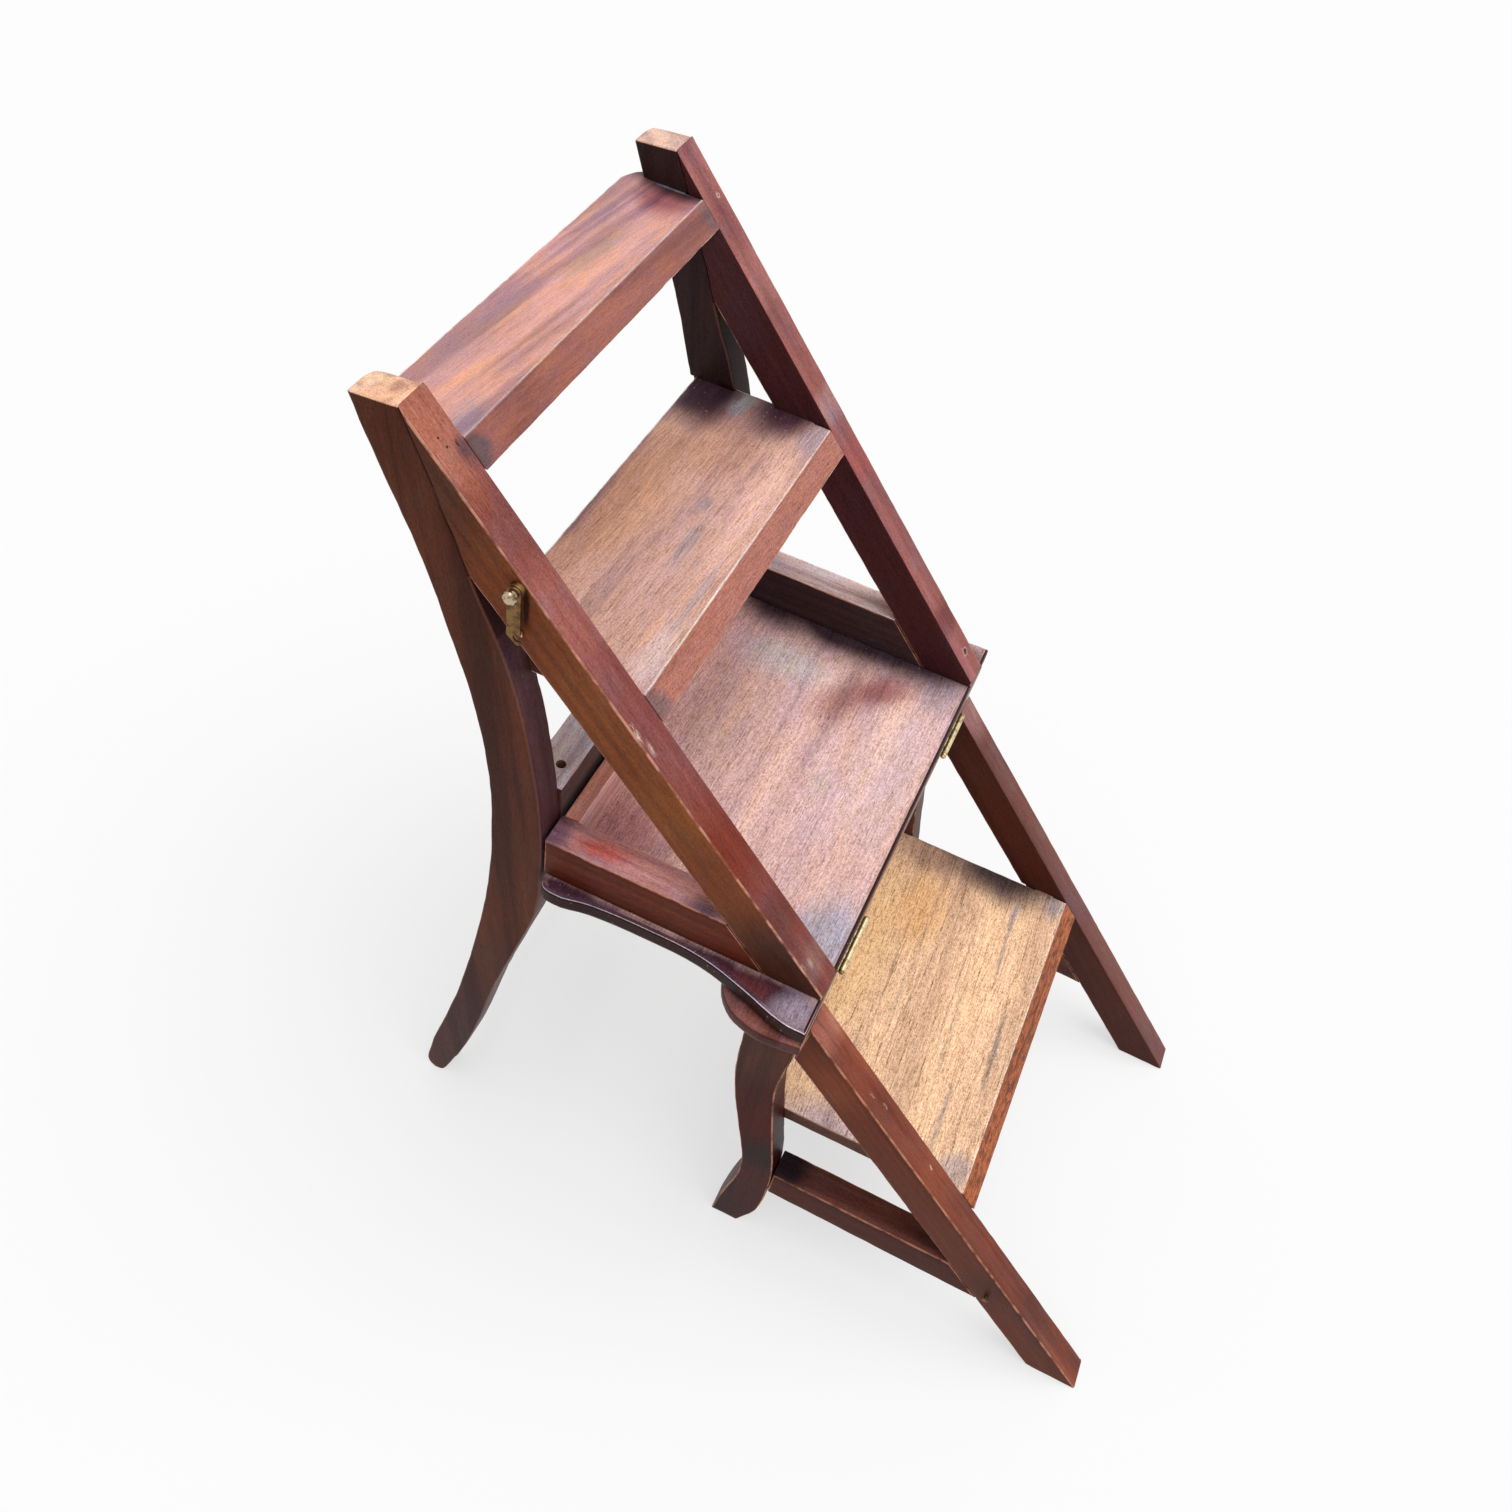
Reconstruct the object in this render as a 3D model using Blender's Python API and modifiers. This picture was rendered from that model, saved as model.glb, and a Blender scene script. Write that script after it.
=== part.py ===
"""Library step chair, shown opened out as steps.  Metres, +Z up, +Y towards the stiles."""
import math

import bmesh
import bpy
from mathutils import Vector

# Driving sizes
overall_height = 0.8708          # floor to the stringer tops; the fold axis is half way up
top_reach = 0.3591               # platform edge back to the stringer tops
lower_width = 0.420              # outside the lower stringers and front legs
frame_step = 0.003               # upper stringers and stiles stand in by this on each side
side_thickness = 0.030           # every stringer, stile, leg, stretcher and side rail
upper_stringer_depth = 0.054     # measured level, front to back
lower_stringer_depth = 0.052
nose_height = 0.0056             # upright nose of an upper stringer on the platform
toe_cut = 0.001                  # upright nose of a lower stringer on the floor
joint_gap = 0.0003
rest_gap = 0.0007                # between the two stringer fronts when folded to a chair
side_arris = 0.0014

seat_thickness = 0.0205
seat_setback = 0.0035            # seat board rear edge in front of the stiles
board_gap = 0.002                # between the two boards at the fold
board_overhang = 0.0318          # widest point of the front board, beyond the front legs
front_board_depth = 0.090
front_board_thickness = 0.017
board_round = 0.005

tread_thickness = 0.0195
lowest_tread_thickness = 0.0185
tread_housing = 0.006            # how far a tread end sits in its groove
lowest_tread_housing = 0.005
tread_notch = 0.014              # grooves stop this far behind the stringer fronts
tread_round = 0.0016
top_tread_flare = 0.010          # top tread behind the stiles, each side
top_tread_corner = 0.020

leg_depth = 0.052                # front leg at its top
side_rail_height = 0.0441
apron_thickness = 0.013
apron_height = 0.0431
rear_rail_thickness = 0.033
rear_rail_height = 0.0946
peg_hole_diameter = 0.0085
peg_hole_depth = 0.016
peg_hole_inset = 0.023           # from the stile's inner face
rail_arris = 0.0012
front_rail_thickness = 0.018
front_rail_height = 0.055
front_rail_setback = 0.014
back_rail_thickness = 0.014
back_rail_bow = 0.022
crest_rail_height = 0.050
lower_back_rail_height = 0.036

fold_setback = 0.0032            # fold axis in front of the board edges
hinge_length = 0.059
hinge_spacing = 0.262            # between the two hinge centres
leaf_reach = 0.020
leaf_thickness = 0.0012
leaf_gap = 0.0006
barrel_radius = 0.0028
pin_radius = 0.00123
pin_clearance = 0.00007
pin_head_height = 0.0014
screw_radius = 0.0022
screw_length = 0.0075
screw_clearance = 0.0003

latch_reach = 0.0400             # pivot to the middle of the notch
latch_width = 0.0106
latch_tail = 0.0064              # below the middle of the notch
latch_thickness = 0.0018
latch_arris = 0.0002
latch_standoff = 0.0045          # plate above the stringer face
notch_radius = 0.0031
notch_offset = 0.0028            # notch middle in front of the plate's centre line
pivot_head_radius = 0.0055
pivot_head_height = 0.0042
pivot_neck_radius = 0.0036       # collar that holds the head off the plate
pivot_neck_height = 0.0040
pivot_shank_radius = 0.0022
pivot_clearance = 0.00008
spacer_radius = 0.0058
spacer_bore = 0.0026
parking_screw_radius = 0.0026
parking_screw_height = 0.0036
stud_radius = 0.0021
stud_head_radius = 0.0029
stud_head_height = 0.0016
lock_angle = math.radians(90)
cutter_margin = 0.010

# Shares
lowest_tread_share = 0.2446      # tread tops, of the overall height
second_tread_share = 0.7795
top_tread_share = 0.9646
waist_share = 0.6959             # front of the stile at the seat, of top_reach
second_tread_rear_share = 0.8900
top_tread_rear_share = 1.1139
top_tread_flare_share = 1.0790
lowest_tread_reach_share = 0.600  # its rear edge between the legs, of leg_depth
seam_shares = [(1.0, 1.0), (0.9368, 0.9404), (0.9215, 0.9213), (0.8970, 0.8994),
               (0.8803, 0.8793), (0.8674, 0.8667)]
stile_front_shares = [(0.8441, 0.8420), (0.8095, 0.8100), (0.7639, 0.7509), (0.7229, 0.6664),
                      (0.7040, 0.6080), (0.6959, 0.5237), (0.7060, 0.4479), (0.7497, 0.3745),
                      (0.8184, 0.2667), (0.8850, 0.1396), (0.9385, 0.0624), (0.9560, 0.0440),
                      (0.9760, 0.0200)]
stile_foot_shares = [(0.9930, 0.0040), (1.0050, 0.0), (1.0230, 0.0), (1.0400, 0.0080)]
stile_rear_shares = [(1.0426, 0.0271), (0.9362, 0.2099), (0.8672, 0.3628), (0.8312, 0.4823),
                     (0.8243, 0.5627), (0.8301, 0.6332), (0.8705, 0.7316), (0.9109, 0.7880),
                     (0.9683, 0.8630), (1.0348, 0.9282), (1.1036, 0.9953), (1.0969, 1.0)]
leg_rear_shares = [(1.0, 0.4790), (1.004, 0.4101), (0.981, 0.3475), (0.892, 0.3041),
                   (0.606, 0.2224), (0.412, 0.1649), (0.375, 0.1300), (0.420, 0.1050),
                   (0.496, 0.0791), (0.600, 0.0350), (0.660, 0.0)]
leg_front_shares = [(0.115, 0.0), (-0.002, 0.0183), (-0.140, 0.0400), (-0.225, 0.0680),
                    (-0.250, 0.1097), (-0.235, 0.1541),
                    (-0.017, 0.2387), (0.181, 0.3213), (0.198, 0.3447), (0.173, 0.3698),
                    (0.121, 0.4071), (0.019, 0.4790)]
seat_outline_shares = [(0.9860, 0.0), (0.9815, 0.0813), (0.9310, 0.2439), (0.8892, 0.4065),
                       (0.8809, 0.6098), (0.8892, 0.8130), (0.9098, 0.9431), (0.8933, 0.9898),
                       (0.8602, 1.0)]
front_board_shares = [(0.9864, 0.0), (1.0, 0.3156), (0.9926, 0.5156), (0.9533, 0.7478),
                      (0.8602, 0.9044), (0.6203, 0.9778), (0.0, 1.0)]
stretcher_rear_shares = (0.1120, 0.1564)     # bottom and top, of the overall height
stretcher_front_shares = (0.1021, 0.1516)
crest_rail_share = 0.0860        # bottom edges, of the overall height
lower_back_rail_share = 0.3180
back_rail_set_share = 0.34       # rail front in the stile, from its front to its rear
latch_reach_share = 0.7644        # latch pivot
latch_height_share = 0.8768
barrel_knuckles = 5

# Derived sizes
hinge_height = overall_height / 2
seat_bottom = hinge_height + board_gap / 2
platform_height = seat_bottom + seat_thickness
front_board_top = hinge_height - board_gap / 2
front_board_bottom = front_board_top - front_board_thickness
upper_intercept = platform_height + nose_height
slope = (overall_height - upper_intercept) / top_reach
lower_intercept = overall_height - upper_intercept + 2 * slope * fold_setback - rest_gap
toe_y = (toe_cut - lower_intercept) / slope
lower_half = lower_width / 2
lower_inner = lower_half - side_thickness
upper_half = lower_half - frame_step
upper_inner = upper_half - side_thickness
upper_centre = upper_half - side_thickness / 2
lower_centre = lower_half - side_thickness / 2
board_half = lower_half + board_overhang
waist_y = waist_share * top_reach
seat_depth = waist_y - seat_setback
top_tread_rear = top_tread_rear_share * top_reach
centring = -(toe_y + top_tread_rear) / 2
barrel_clear_y = barrel_radius + joint_gap - fold_setback

# Scene and collections
for old in list(bpy.data.objects):
    bpy.data.objects.remove(old, do_unlink=True)

part_collection = bpy.data.collections.new("library_step_chair")
cutter_collection = bpy.data.collections.new("cutters")
for collection in (part_collection, cutter_collection):
    bpy.context.scene.collection.children.link(collection)
cutter_collection.hide_render = True


def finish(name, colour, roughness, metallic=0.0):
    material = bpy.data.materials.new(name)
    material.use_nodes = True
    shader = material.node_tree.nodes["Principled BSDF"]
    shader.inputs["Base Color"].default_value = (*colour, 1.0)
    shader.inputs["Roughness"].default_value = roughness
    shader.inputs["Metallic"].default_value = metallic
    material.diffuse_color = (*colour, 1.0)
    return material


frame_wood = finish("frame_wood", (0.105, 0.034, 0.020), 0.38)
tread_wood = finish("tread_wood", (0.290, 0.115, 0.065), 0.42)
seat_wood = finish("seat_wood", (0.170, 0.068, 0.050), 0.36)
worn_wood = finish("worn_wood", (0.480, 0.280, 0.120), 0.50)
hinge_brass = finish("hinge_brass", (0.620, 0.450, 0.160), 0.28, 1.0)
aged_brass = finish("aged_brass", (0.300, 0.230, 0.120), 0.42, 1.0)


def pivot(name, parent, location):
    """An empty on a joint axis; location is in the stair's own frame."""
    empty = bpy.data.objects.new(name, None)
    empty.empty_display_size = leaf_reach
    part_collection.objects.link(empty)
    empty.parent = parent
    origin = Vector(parent["origin"]) if parent else Vector((0, 0, 0))
    empty.location = Vector(location) - origin
    empty["origin"] = tuple(location) if parent else (0, 0, 0)
    return empty


lower_frame = pivot("lower_frame", None, (0, centring, 0))
upper_frame = pivot("upper_frame", lower_frame, (0, -fold_setback, hinge_height))


# Modelling helpers
def tidy_mesh(mesh, smooth_angle=math.radians(34)):
    work = bmesh.new()
    work.from_mesh(mesh)
    bmesh.ops.remove_doubles(work, verts=work.verts, dist=0.00001)
    bmesh.ops.dissolve_limit(work, angle_limit=math.radians(0.2), verts=work.verts,
                             edges=work.edges)
    bmesh.ops.recalc_face_normals(work, faces=work.faces)
    work.to_mesh(mesh)
    work.free()
    mesh.shade_smooth()
    mesh.set_sharp_from_angle(angle=smooth_angle)
    return mesh


def add(name, mesh, parent, location, material=None, rotation=(0, 0, 0), cutter=False):
    obj = bpy.data.objects.new(name, mesh)
    if cutter:
        cutter_collection.objects.link(obj)
        obj.hide_render = True
        obj.display_type = "WIRE"
    else:
        part_collection.objects.link(obj)
        mesh.materials.clear()
        mesh.materials.append(material)
    obj.parent = parent
    obj.location = Vector(location) - Vector(parent["origin"])
    obj.rotation_euler = rotation
    return obj


def outline_mesh(name, outline, thickness, round_radius, resolution=3, round_steps=1):
    """A closed flat outline, corner points as (a, b) and curved ones as (a, b, "round")."""
    curve = bpy.data.curves.new(name, "CURVE")
    curve.dimensions = "2D"
    curve.fill_mode = "BOTH"
    curve.resolution_u = resolution
    curve.extrude = thickness / 2 - round_radius
    curve.bevel_depth = round_radius
    curve.offset = -round_radius
    curve.bevel_resolution = round_steps
    spline = curve.splines.new("BEZIER")
    spline.use_cyclic_u = True
    spline.bezier_points.add(len(outline) - 1)
    for point, place in zip(spline.bezier_points, outline):
        kind = "AUTO" if len(place) > 2 else "VECTOR"
        point.handle_left_type = kind
        point.handle_right_type = kind
        point.co = (place[0], place[1], 0)
    holder = bpy.data.objects.new(name + "_outline", curve)
    bpy.context.scene.collection.objects.link(holder)
    shaped = holder.evaluated_get(bpy.context.evaluated_depsgraph_get())
    mesh = bpy.data.meshes.new_from_object(shaped)
    bpy.data.objects.remove(holder, do_unlink=True)
    bpy.data.curves.remove(curve)
    mesh.name = name
    return tidy_mesh(mesh)


side_turn = (math.pi / 2, 0, math.pi / 2)    # local x, y, z to world Y, Z, X


def side_piece(name, parent, outline, x, material, thickness=side_thickness, arris=side_arris,
               resolution=3):
    mesh = outline_mesh(name, outline, thickness, arris, resolution)
    return add(name, mesh, parent, (x, 0, 0), material, side_turn)


def plan_piece(name, parent, outline, bottom, thickness, material, edge, resolution=4, steps=1):
    mesh = outline_mesh(name, outline, thickness, edge, resolution, steps)
    return add(name, mesh, parent, (0, 0, bottom + thickness / 2), material)


def box_mesh(name, low, high):
    mesh = bpy.data.meshes.new(name)
    work = bmesh.new()
    bmesh.ops.create_cube(work, size=1)
    size = Vector(high) - Vector(low)
    bmesh.ops.scale(work, vec=size, verts=work.verts)
    work.to_mesh(mesh)
    work.free()
    return mesh


def box(name, parent, low, high, material=None, arris=0.0, cutter=False):
    centre = (Vector(low) + Vector(high)) / 2
    obj = add(name, box_mesh(name, low, high), parent, centre, material, cutter=cutter)
    if arris:
        bevel = obj.modifiers.new("worn arris", "BEVEL")
        bevel.width = arris
        bevel.segments = 2
    return obj


def cylinder_mesh(name, radius, length, sides):
    mesh = bpy.data.meshes.new(name)
    work = bmesh.new()
    bmesh.ops.create_cone(work, cap_ends=True, segments=sides, radius1=radius, radius2=radius,
                          depth=length)
    work.to_mesh(mesh)
    work.free()
    mesh.shade_smooth()
    mesh.set_sharp_from_angle(angle=math.radians(34))
    return mesh


def cylinder_cutter(name, parent, centre, radius, length, rotation=(0, 0, 0), sides=16):
    mesh = cylinder_mesh(name, radius, length, sides)
    return add(name, mesh, parent, centre, rotation=rotation, cutter=True)


def cut(target, cutter, operation="DIFFERENCE"):
    boolean = target.modifiers.new(cutter.name, "BOOLEAN")
    boolean.operation = operation
    boolean.solver = "EXACT"
    boolean.object = cutter


def turned(name, parent, profile, place, material, sides=20):
    """A turned piece standing out along -X: pairs are (radius, distance out), outermost first."""
    mesh = bpy.data.meshes.new(name + "_profile")
    edges = [(i, i + 1) for i in range(len(profile) - 1)]
    if profile[0][0]:
        edges.append((len(profile) - 1, 0))
    mesh.from_pydata([(radius, 0, out) for radius, out in profile], edges, [])
    obj = add(name, mesh, parent, place, material, (0, -math.pi / 2, 0))
    screw = obj.modifiers.new("turning", "SCREW")
    screw.axis = "Z"
    screw.steps = sides
    screw.render_steps = sides
    screw.use_merge_vertices = True
    screw.merge_threshold = 0.00001
    screw.use_smooth_shade = True
    return obj


def at_height(points, z):
    """Level distance of an outline, given as (y, z) pairs, at height z."""
    for (y0, z0), (y1, z1) in zip(points, points[1:]):
        if min(z0, z1) <= z <= max(z0, z1):
            return y0 + (y1 - y0) * (z - z0) / (z1 - z0)
    return points[-1][0]


def upper_front(z):
    return (z - upper_intercept) / slope


def lower_front(z):
    return (z - lower_intercept) / slope


def of_top(shares):
    return [(a * top_reach, b * overall_height) for a, b in shares]


def of_leg(shares):
    return [(a * leg_depth, b * overall_height) for a, b in shares]


def rounded(points):
    return [(a, b, "round") for a, b in points]


sides = (("left", -1), ("right", 1))

# Side outlines
seam = of_top(seam_shares)
fork_y, fork_z = seam[-1]
stile_front = of_top(stile_front_shares)
stile_rear = of_top(stile_rear_shares)
stile_foot = of_top(stile_foot_shares)
stile_outline = seam + rounded(stile_front + stile_foot[:1]) + stile_foot[1:-1]
stile_outline += rounded(stile_foot[-1:] + stile_rear[:-2]) + stile_rear[-2:]

foot_z = platform_height + joint_gap
stringer_top = [(y - joint_gap / 2, z) for y, z in seam]
upper_stringer_outline = [(0, foot_z), (0, upper_intercept)] + stringer_top
upper_stringer_outline.append((upper_front(foot_z) + upper_stringer_depth, foot_z))

leg_top = front_board_bottom - joint_gap
leg_rear = of_leg(leg_rear_shares)
leg_front = of_leg(leg_front_shares)
leg_rear[0] = (leg_rear[0][0], leg_top)
leg_front[-1] = (leg_front[-1][0], leg_top)
leg_outline = [leg_rear[0]] + rounded(leg_rear[1:-1]) + [leg_rear[-1]]
leg_outline += [leg_front[0]] + rounded(leg_front[1:-2]) + leg_front[-2:]

end_high_y = at_height(leg_front, lower_intercept) - 2 * joint_gap
end_low_z = lower_intercept + slope * (leg_front[-2][0] - lower_stringer_depth)
end_low_y = at_height(leg_front, end_low_z) - 2 * joint_gap
end_low_z = lower_intercept + slope * (end_low_y - lower_stringer_depth)
end_high_z = lower_intercept + slope * min(end_high_y, 0)
lower_stringer_outline = [(toe_y, 0), (toe_y, toe_cut), (min(end_high_y, 0), end_high_z),
                          (end_low_y, end_low_z),
                          (lower_front(0) + lower_stringer_depth, 0)]

stretcher_end = leg_front[4][0] - 2 * joint_gap
stretcher_low, stretcher_high = (share * overall_height for share in stretcher_rear_shares)
toe_low, toe_high = (share * overall_height for share in stretcher_front_shares)
toe_set = lower_stringer_depth + 2 * joint_gap
stretcher_outline = [(stretcher_end, stretcher_low), (stretcher_end, stretcher_high),
                     (lower_front(toe_high) + toe_set, toe_high),
                     (lower_front(toe_low) + toe_set, toe_low)]

rail_top = platform_height + side_rail_height
rail_set = upper_stringer_depth + 2 * joint_gap
side_rail_rear = seat_depth + seat_setback / 4
side_rail_outline = [(upper_front(foot_z) + rail_set, foot_z),
                     (upper_front(rail_top) + rail_set, rail_top),
                     (side_rail_rear, rail_top), (side_rail_rear, foot_z)]

side_pieces = {}
for side, sign in sides:
    upper_x = sign * upper_centre
    lower_x = sign * lower_centre
    for kind, frame, outline, x in (
            ("stile", upper_frame, stile_outline, upper_x),
            ("upper_stringer", upper_frame, upper_stringer_outline, upper_x),
            ("seat_side_rail", upper_frame, side_rail_outline, upper_x),
            ("lower_stringer", lower_frame, lower_stringer_outline, lower_x),
            ("front_leg", lower_frame, leg_outline, lower_x),
            ("side_stretcher", lower_frame, stretcher_outline, lower_x)):
        name = f"{kind}_{side}"
        side_pieces[name] = side_piece(name, frame, outline, x, frame_wood)


# Treads and their grooves
def tread_front_cutter(name, frame, front, top, bottom):
    """Wedge ahead of the stringer fronts, so a tread's front edge follows their slope."""
    high, low = top + cutter_margin, bottom - cutter_margin
    outline = [(front(low), low), (front(high), high),
               (front(low) - upper_stringer_depth, high), (front(low) - upper_stringer_depth, low)]
    mesh = outline_mesh(name, outline, lower_width, 0)
    return add(name, mesh, frame, (0, 0, 0), rotation=side_turn, cutter=True)


def tread(name, frame, front, top, thickness, inner, housing, rear_outline, material, housed_in):
    bottom = top - thickness
    neck = front(top) + tread_notch
    lead = front(bottom) - joint_gap
    half = inner - joint_gap
    housed = inner + housing - joint_gap
    right = [(half, lead), (half, neck), (housed, neck + housing)] + rear_outline
    left = [(-place[0], *place[1:]) for place in reversed(right)]
    piece = plan_piece(name, frame, right + left, bottom, thickness, material, tread_round)
    cut(piece, tread_front_cutter(name + "_front_slope", frame, front, top, bottom))
    for side, sign in sides:
        reach = sorted((sign * (inner - housing), sign * (housed + joint_gap * 2)))
        low = (reach[0], neck - joint_gap, bottom - joint_gap)
        high = (reach[1], neck + top_reach, top + joint_gap)
        groove = box(f"{name}_groove_{side}", frame, low, high, cutter=True)
        for kind in housed_in:
            cut(side_pieces[f"{kind}_{side}"], groove)
    return piece


top_height = top_tread_share * overall_height
second_height = second_tread_share * overall_height
lowest_height = lowest_tread_share * overall_height

flare_y = top_tread_flare_share * top_reach
flare_x = upper_inner + top_tread_flare
corner = top_tread_corner * math.sqrt(0.5)
top_rear = [(upper_inner + tread_housing - joint_gap, flare_y), (flare_x, flare_y + tread_round),
            (flare_x - top_tread_corner + corner, top_tread_rear - top_tread_corner + corner,
             "round"),
            (flare_x - top_tread_corner, top_tread_rear)]
tread("top_tread", upper_frame, upper_front, top_height, tread_thickness, upper_inner,
      tread_housing, top_rear, tread_wood, ("upper_stringer", "stile"))
second_rear = [(upper_inner + tread_housing - joint_gap, second_tread_rear_share * top_reach)]
tread("second_tread", upper_frame, upper_front, second_height, tread_thickness, upper_inner,
      tread_housing, second_rear, tread_wood, ("upper_stringer", "stile"))
lowest_stop = lower_front(lowest_height - lowest_tread_thickness) + lower_stringer_depth
lowest_rear = [(lower_inner + lowest_tread_housing - joint_gap,
                lowest_stop - lowest_tread_housing),
               (lower_inner - joint_gap, lowest_stop),
               (lower_inner - joint_gap, lowest_tread_reach_share * leg_depth)]
tread("lowest_tread", lower_frame, lower_front, lowest_height, lowest_tread_thickness,
      lower_inner, lowest_tread_housing, lowest_rear, worn_wood, ("lower_stringer",))


# Boards
def mirrored(points):
    right = [points[0]] + rounded(points[1:])
    left = [(-place[0], *place[1:]) for place in reversed(right) if place[0]]
    return right + left


seat_points = [(a * board_half, b * seat_depth) for a, b in seat_outline_shares]
seat_board = plan_piece("seat_board", upper_frame, mirrored(seat_points), seat_bottom,
                        seat_thickness, seat_wood, board_round, steps=2)
front_points = [(a * board_half, b * front_board_depth) for a, b in front_board_shares]
front_board = plan_piece("seat_front_board", lower_frame, mirrored(front_points),
                         front_board_bottom, front_board_thickness, frame_wood, board_round,
                         steps=2)

# Rails
rail_half = upper_inner - joint_gap
box("seat_rear_apron", upper_frame, (-rail_half, seat_depth - apron_thickness, foot_z),
    (rail_half, seat_depth, platform_height + apron_height), tread_wood, rail_arris)
rear_rail = box("rear_rail", upper_frame, (-rail_half, waist_y, seat_bottom),
                (rail_half, waist_y + rear_rail_thickness, seat_bottom + rear_rail_height),
                frame_wood, rail_arris)
rear_rail_top = seat_bottom + rear_rail_height
for side, sign in sides:
    hole_place = (sign * (upper_inner - peg_hole_inset),
                  waist_y + rear_rail_thickness * 0.4, rear_rail_top)
    cut(rear_rail, cylinder_cutter(f"peg_hole_{side}", upper_frame, hole_place,
                                   peg_hole_diameter / 2, 2 * peg_hole_depth))

front_rail_half = lower_inner - joint_gap
box("front_rail", lower_frame, (-front_rail_half, front_rail_setback, leg_top - front_rail_height),
    (front_rail_half, front_rail_setback + front_rail_thickness, leg_top), frame_wood, rail_arris)


def back_rail(name, bottom, height):
    """Rail between the stiles, bowed to the rear, set by its middle height."""
    middle = bottom + height / 2
    front = at_height(stile_front, middle)
    rear = at_height(stile_rear, middle)
    near = front + (rear - front) * back_rail_set_share
    far = near + back_rail_thickness
    outline = [(rail_half, near), (rail_half, far),
               (rail_half / 2, far + back_rail_bow * 0.75, "round"),
               (0, far + back_rail_bow, "round"),
               (-rail_half / 2, far + back_rail_bow * 0.75, "round"),
               (-rail_half, far), (-rail_half, near),
               (-rail_half / 2, near + back_rail_bow * 0.75, "round"),
               (0, near + back_rail_bow, "round"),
               (rail_half / 2, near + back_rail_bow * 0.75, "round")]
    return plan_piece(name, upper_frame, outline, bottom, height, frame_wood, rail_arris)


back_rail("crest_rail", crest_rail_share * overall_height, crest_rail_height)
back_rail("lower_back_rail", lower_back_rail_share * overall_height, lower_back_rail_height)

# Butt hinges
knuckle_pitch = hinge_length / barrel_knuckles
knuckle_length = knuckle_pitch - joint_gap
screw_y = barrel_clear_y + (leaf_reach - barrel_clear_y) * 0.55
screw_offsets = (-hinge_length / 3, 0, hinge_length / 3)
across = (0, math.pi / 2, 0)


def knuckle_centre(hinge_x, index):
    return hinge_x + (index - (barrel_knuckles - 1) / 2) * knuckle_pitch


def leaf(name, frame, hinge_x, knuckles, upward):
    """A plate joined by tabs to its own knuckles and bored for the pin and screws."""
    half = hinge_length / 2 - joint_gap / 2
    low = hinge_height + (leaf_gap / 2 if upward else -leaf_gap / 2 - leaf_thickness)
    high = low + leaf_thickness
    plate = box(name, frame, (hinge_x - half, barrel_clear_y, low),
                (hinge_x + half, leaf_reach, high), hinge_brass)
    tab_half = (knuckle_length - joint_gap) / 2
    inset = leaf_thickness / 10
    for index in knuckles:
        middle = knuckle_centre(hinge_x, index)
        cut(plate, box(f"{name}_tab_{index}", frame,
                       (middle - tab_half, -fold_setback, low + inset),
                       (middle + tab_half, barrel_clear_y + leaf_thickness, high - inset),
                       cutter=True), "UNION")
        cut(plate, cylinder_cutter(f"{name}_knuckle_{index}", frame,
                                   (middle, -fold_setback, hinge_height), barrel_radius,
                                   knuckle_length, across, 20), "UNION")
    bore = cylinder_cutter(f"{name}_pin_bore", frame, (hinge_x, -fold_setback, hinge_height),
                           pin_radius + pin_clearance, hinge_length + cutter_margin, across, 20)
    cut(plate, bore)
    return plate, low


screw_mesh = cylinder_mesh("hinge_screw", screw_radius, screw_length, 12)
screw_middle = leaf_gap / 2 + screw_length / 2
for side, sign in sides:
    hinge_x = sign * hinge_spacing / 2
    odd = [index for index in range(barrel_knuckles) if index % 2]
    even = [index for index in range(barrel_knuckles) if index % 2 == 0]
    for level, frame, board, knuckles, upward in (("upper", upper_frame, seat_board, odd, True),
                                                  ("lower", lower_frame, front_board, even, False)):
        plate, low = leaf(f"{level}_hinge_leaf_{side}", frame, hinge_x, knuckles, upward)
        pocket_low = (hinge_x - hinge_length / 2 - joint_gap, -cutter_margin,
                      min(low, hinge_height) - (0 if upward else joint_gap))
        pocket_high = (hinge_x + hinge_length / 2 + joint_gap, leaf_reach + joint_gap,
                       max(low + leaf_thickness, hinge_height) + (joint_gap if upward else 0))
        cut(board, box(f"{level}_leaf_pocket_{side}", frame, pocket_low, pocket_high, cutter=True))
        for number, offset in enumerate(screw_offsets):
            hole = cylinder_cutter(f"{level}_screw_hole_{side}_{number}", frame,
                                   (hinge_x + offset, screw_y, hinge_height),
                                   screw_radius + screw_clearance,
                                   2 * (screw_length + leaf_gap), sides=12)
            cut(plate, hole)
            cut(board, hole)
            middle_z = hinge_height + (screw_middle if upward else -screw_middle)
            add(f"{level}_hinge_screw_{side}_{number + 1}", screw_mesh, frame,
                (hinge_x + offset, screw_y, middle_z), hinge_brass)
    head_x = hinge_x + hinge_length / 2 + pin_head_height
    pin_profile = [(0, 0), (barrel_radius * 0.7, pin_head_height * 0.25),
                   (barrel_radius * 0.9, pin_head_height - joint_gap),
                   (pin_radius, pin_head_height - joint_gap)]
    span = hinge_length + 2 * pin_head_height
    pin_profile = ([(radius, span - out) for radius, out in pin_profile]
                   + pin_profile[::-1])
    turned(f"hinge_pin_{side}", lower_frame, pin_profile,
           (head_x, -fold_setback, hinge_height), hinge_brass)

# Latch on the left side
latch_pivot_y = latch_reach_share * top_reach
latch_pivot_z = latch_height_share * overall_height
stringer_face = -upper_half
plate_inner = stringer_face - latch_standoff
plate_outer = plate_inner - latch_thickness
latch = pivot("latch", upper_frame, (plate_inner, latch_pivot_y, latch_pivot_z))

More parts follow.
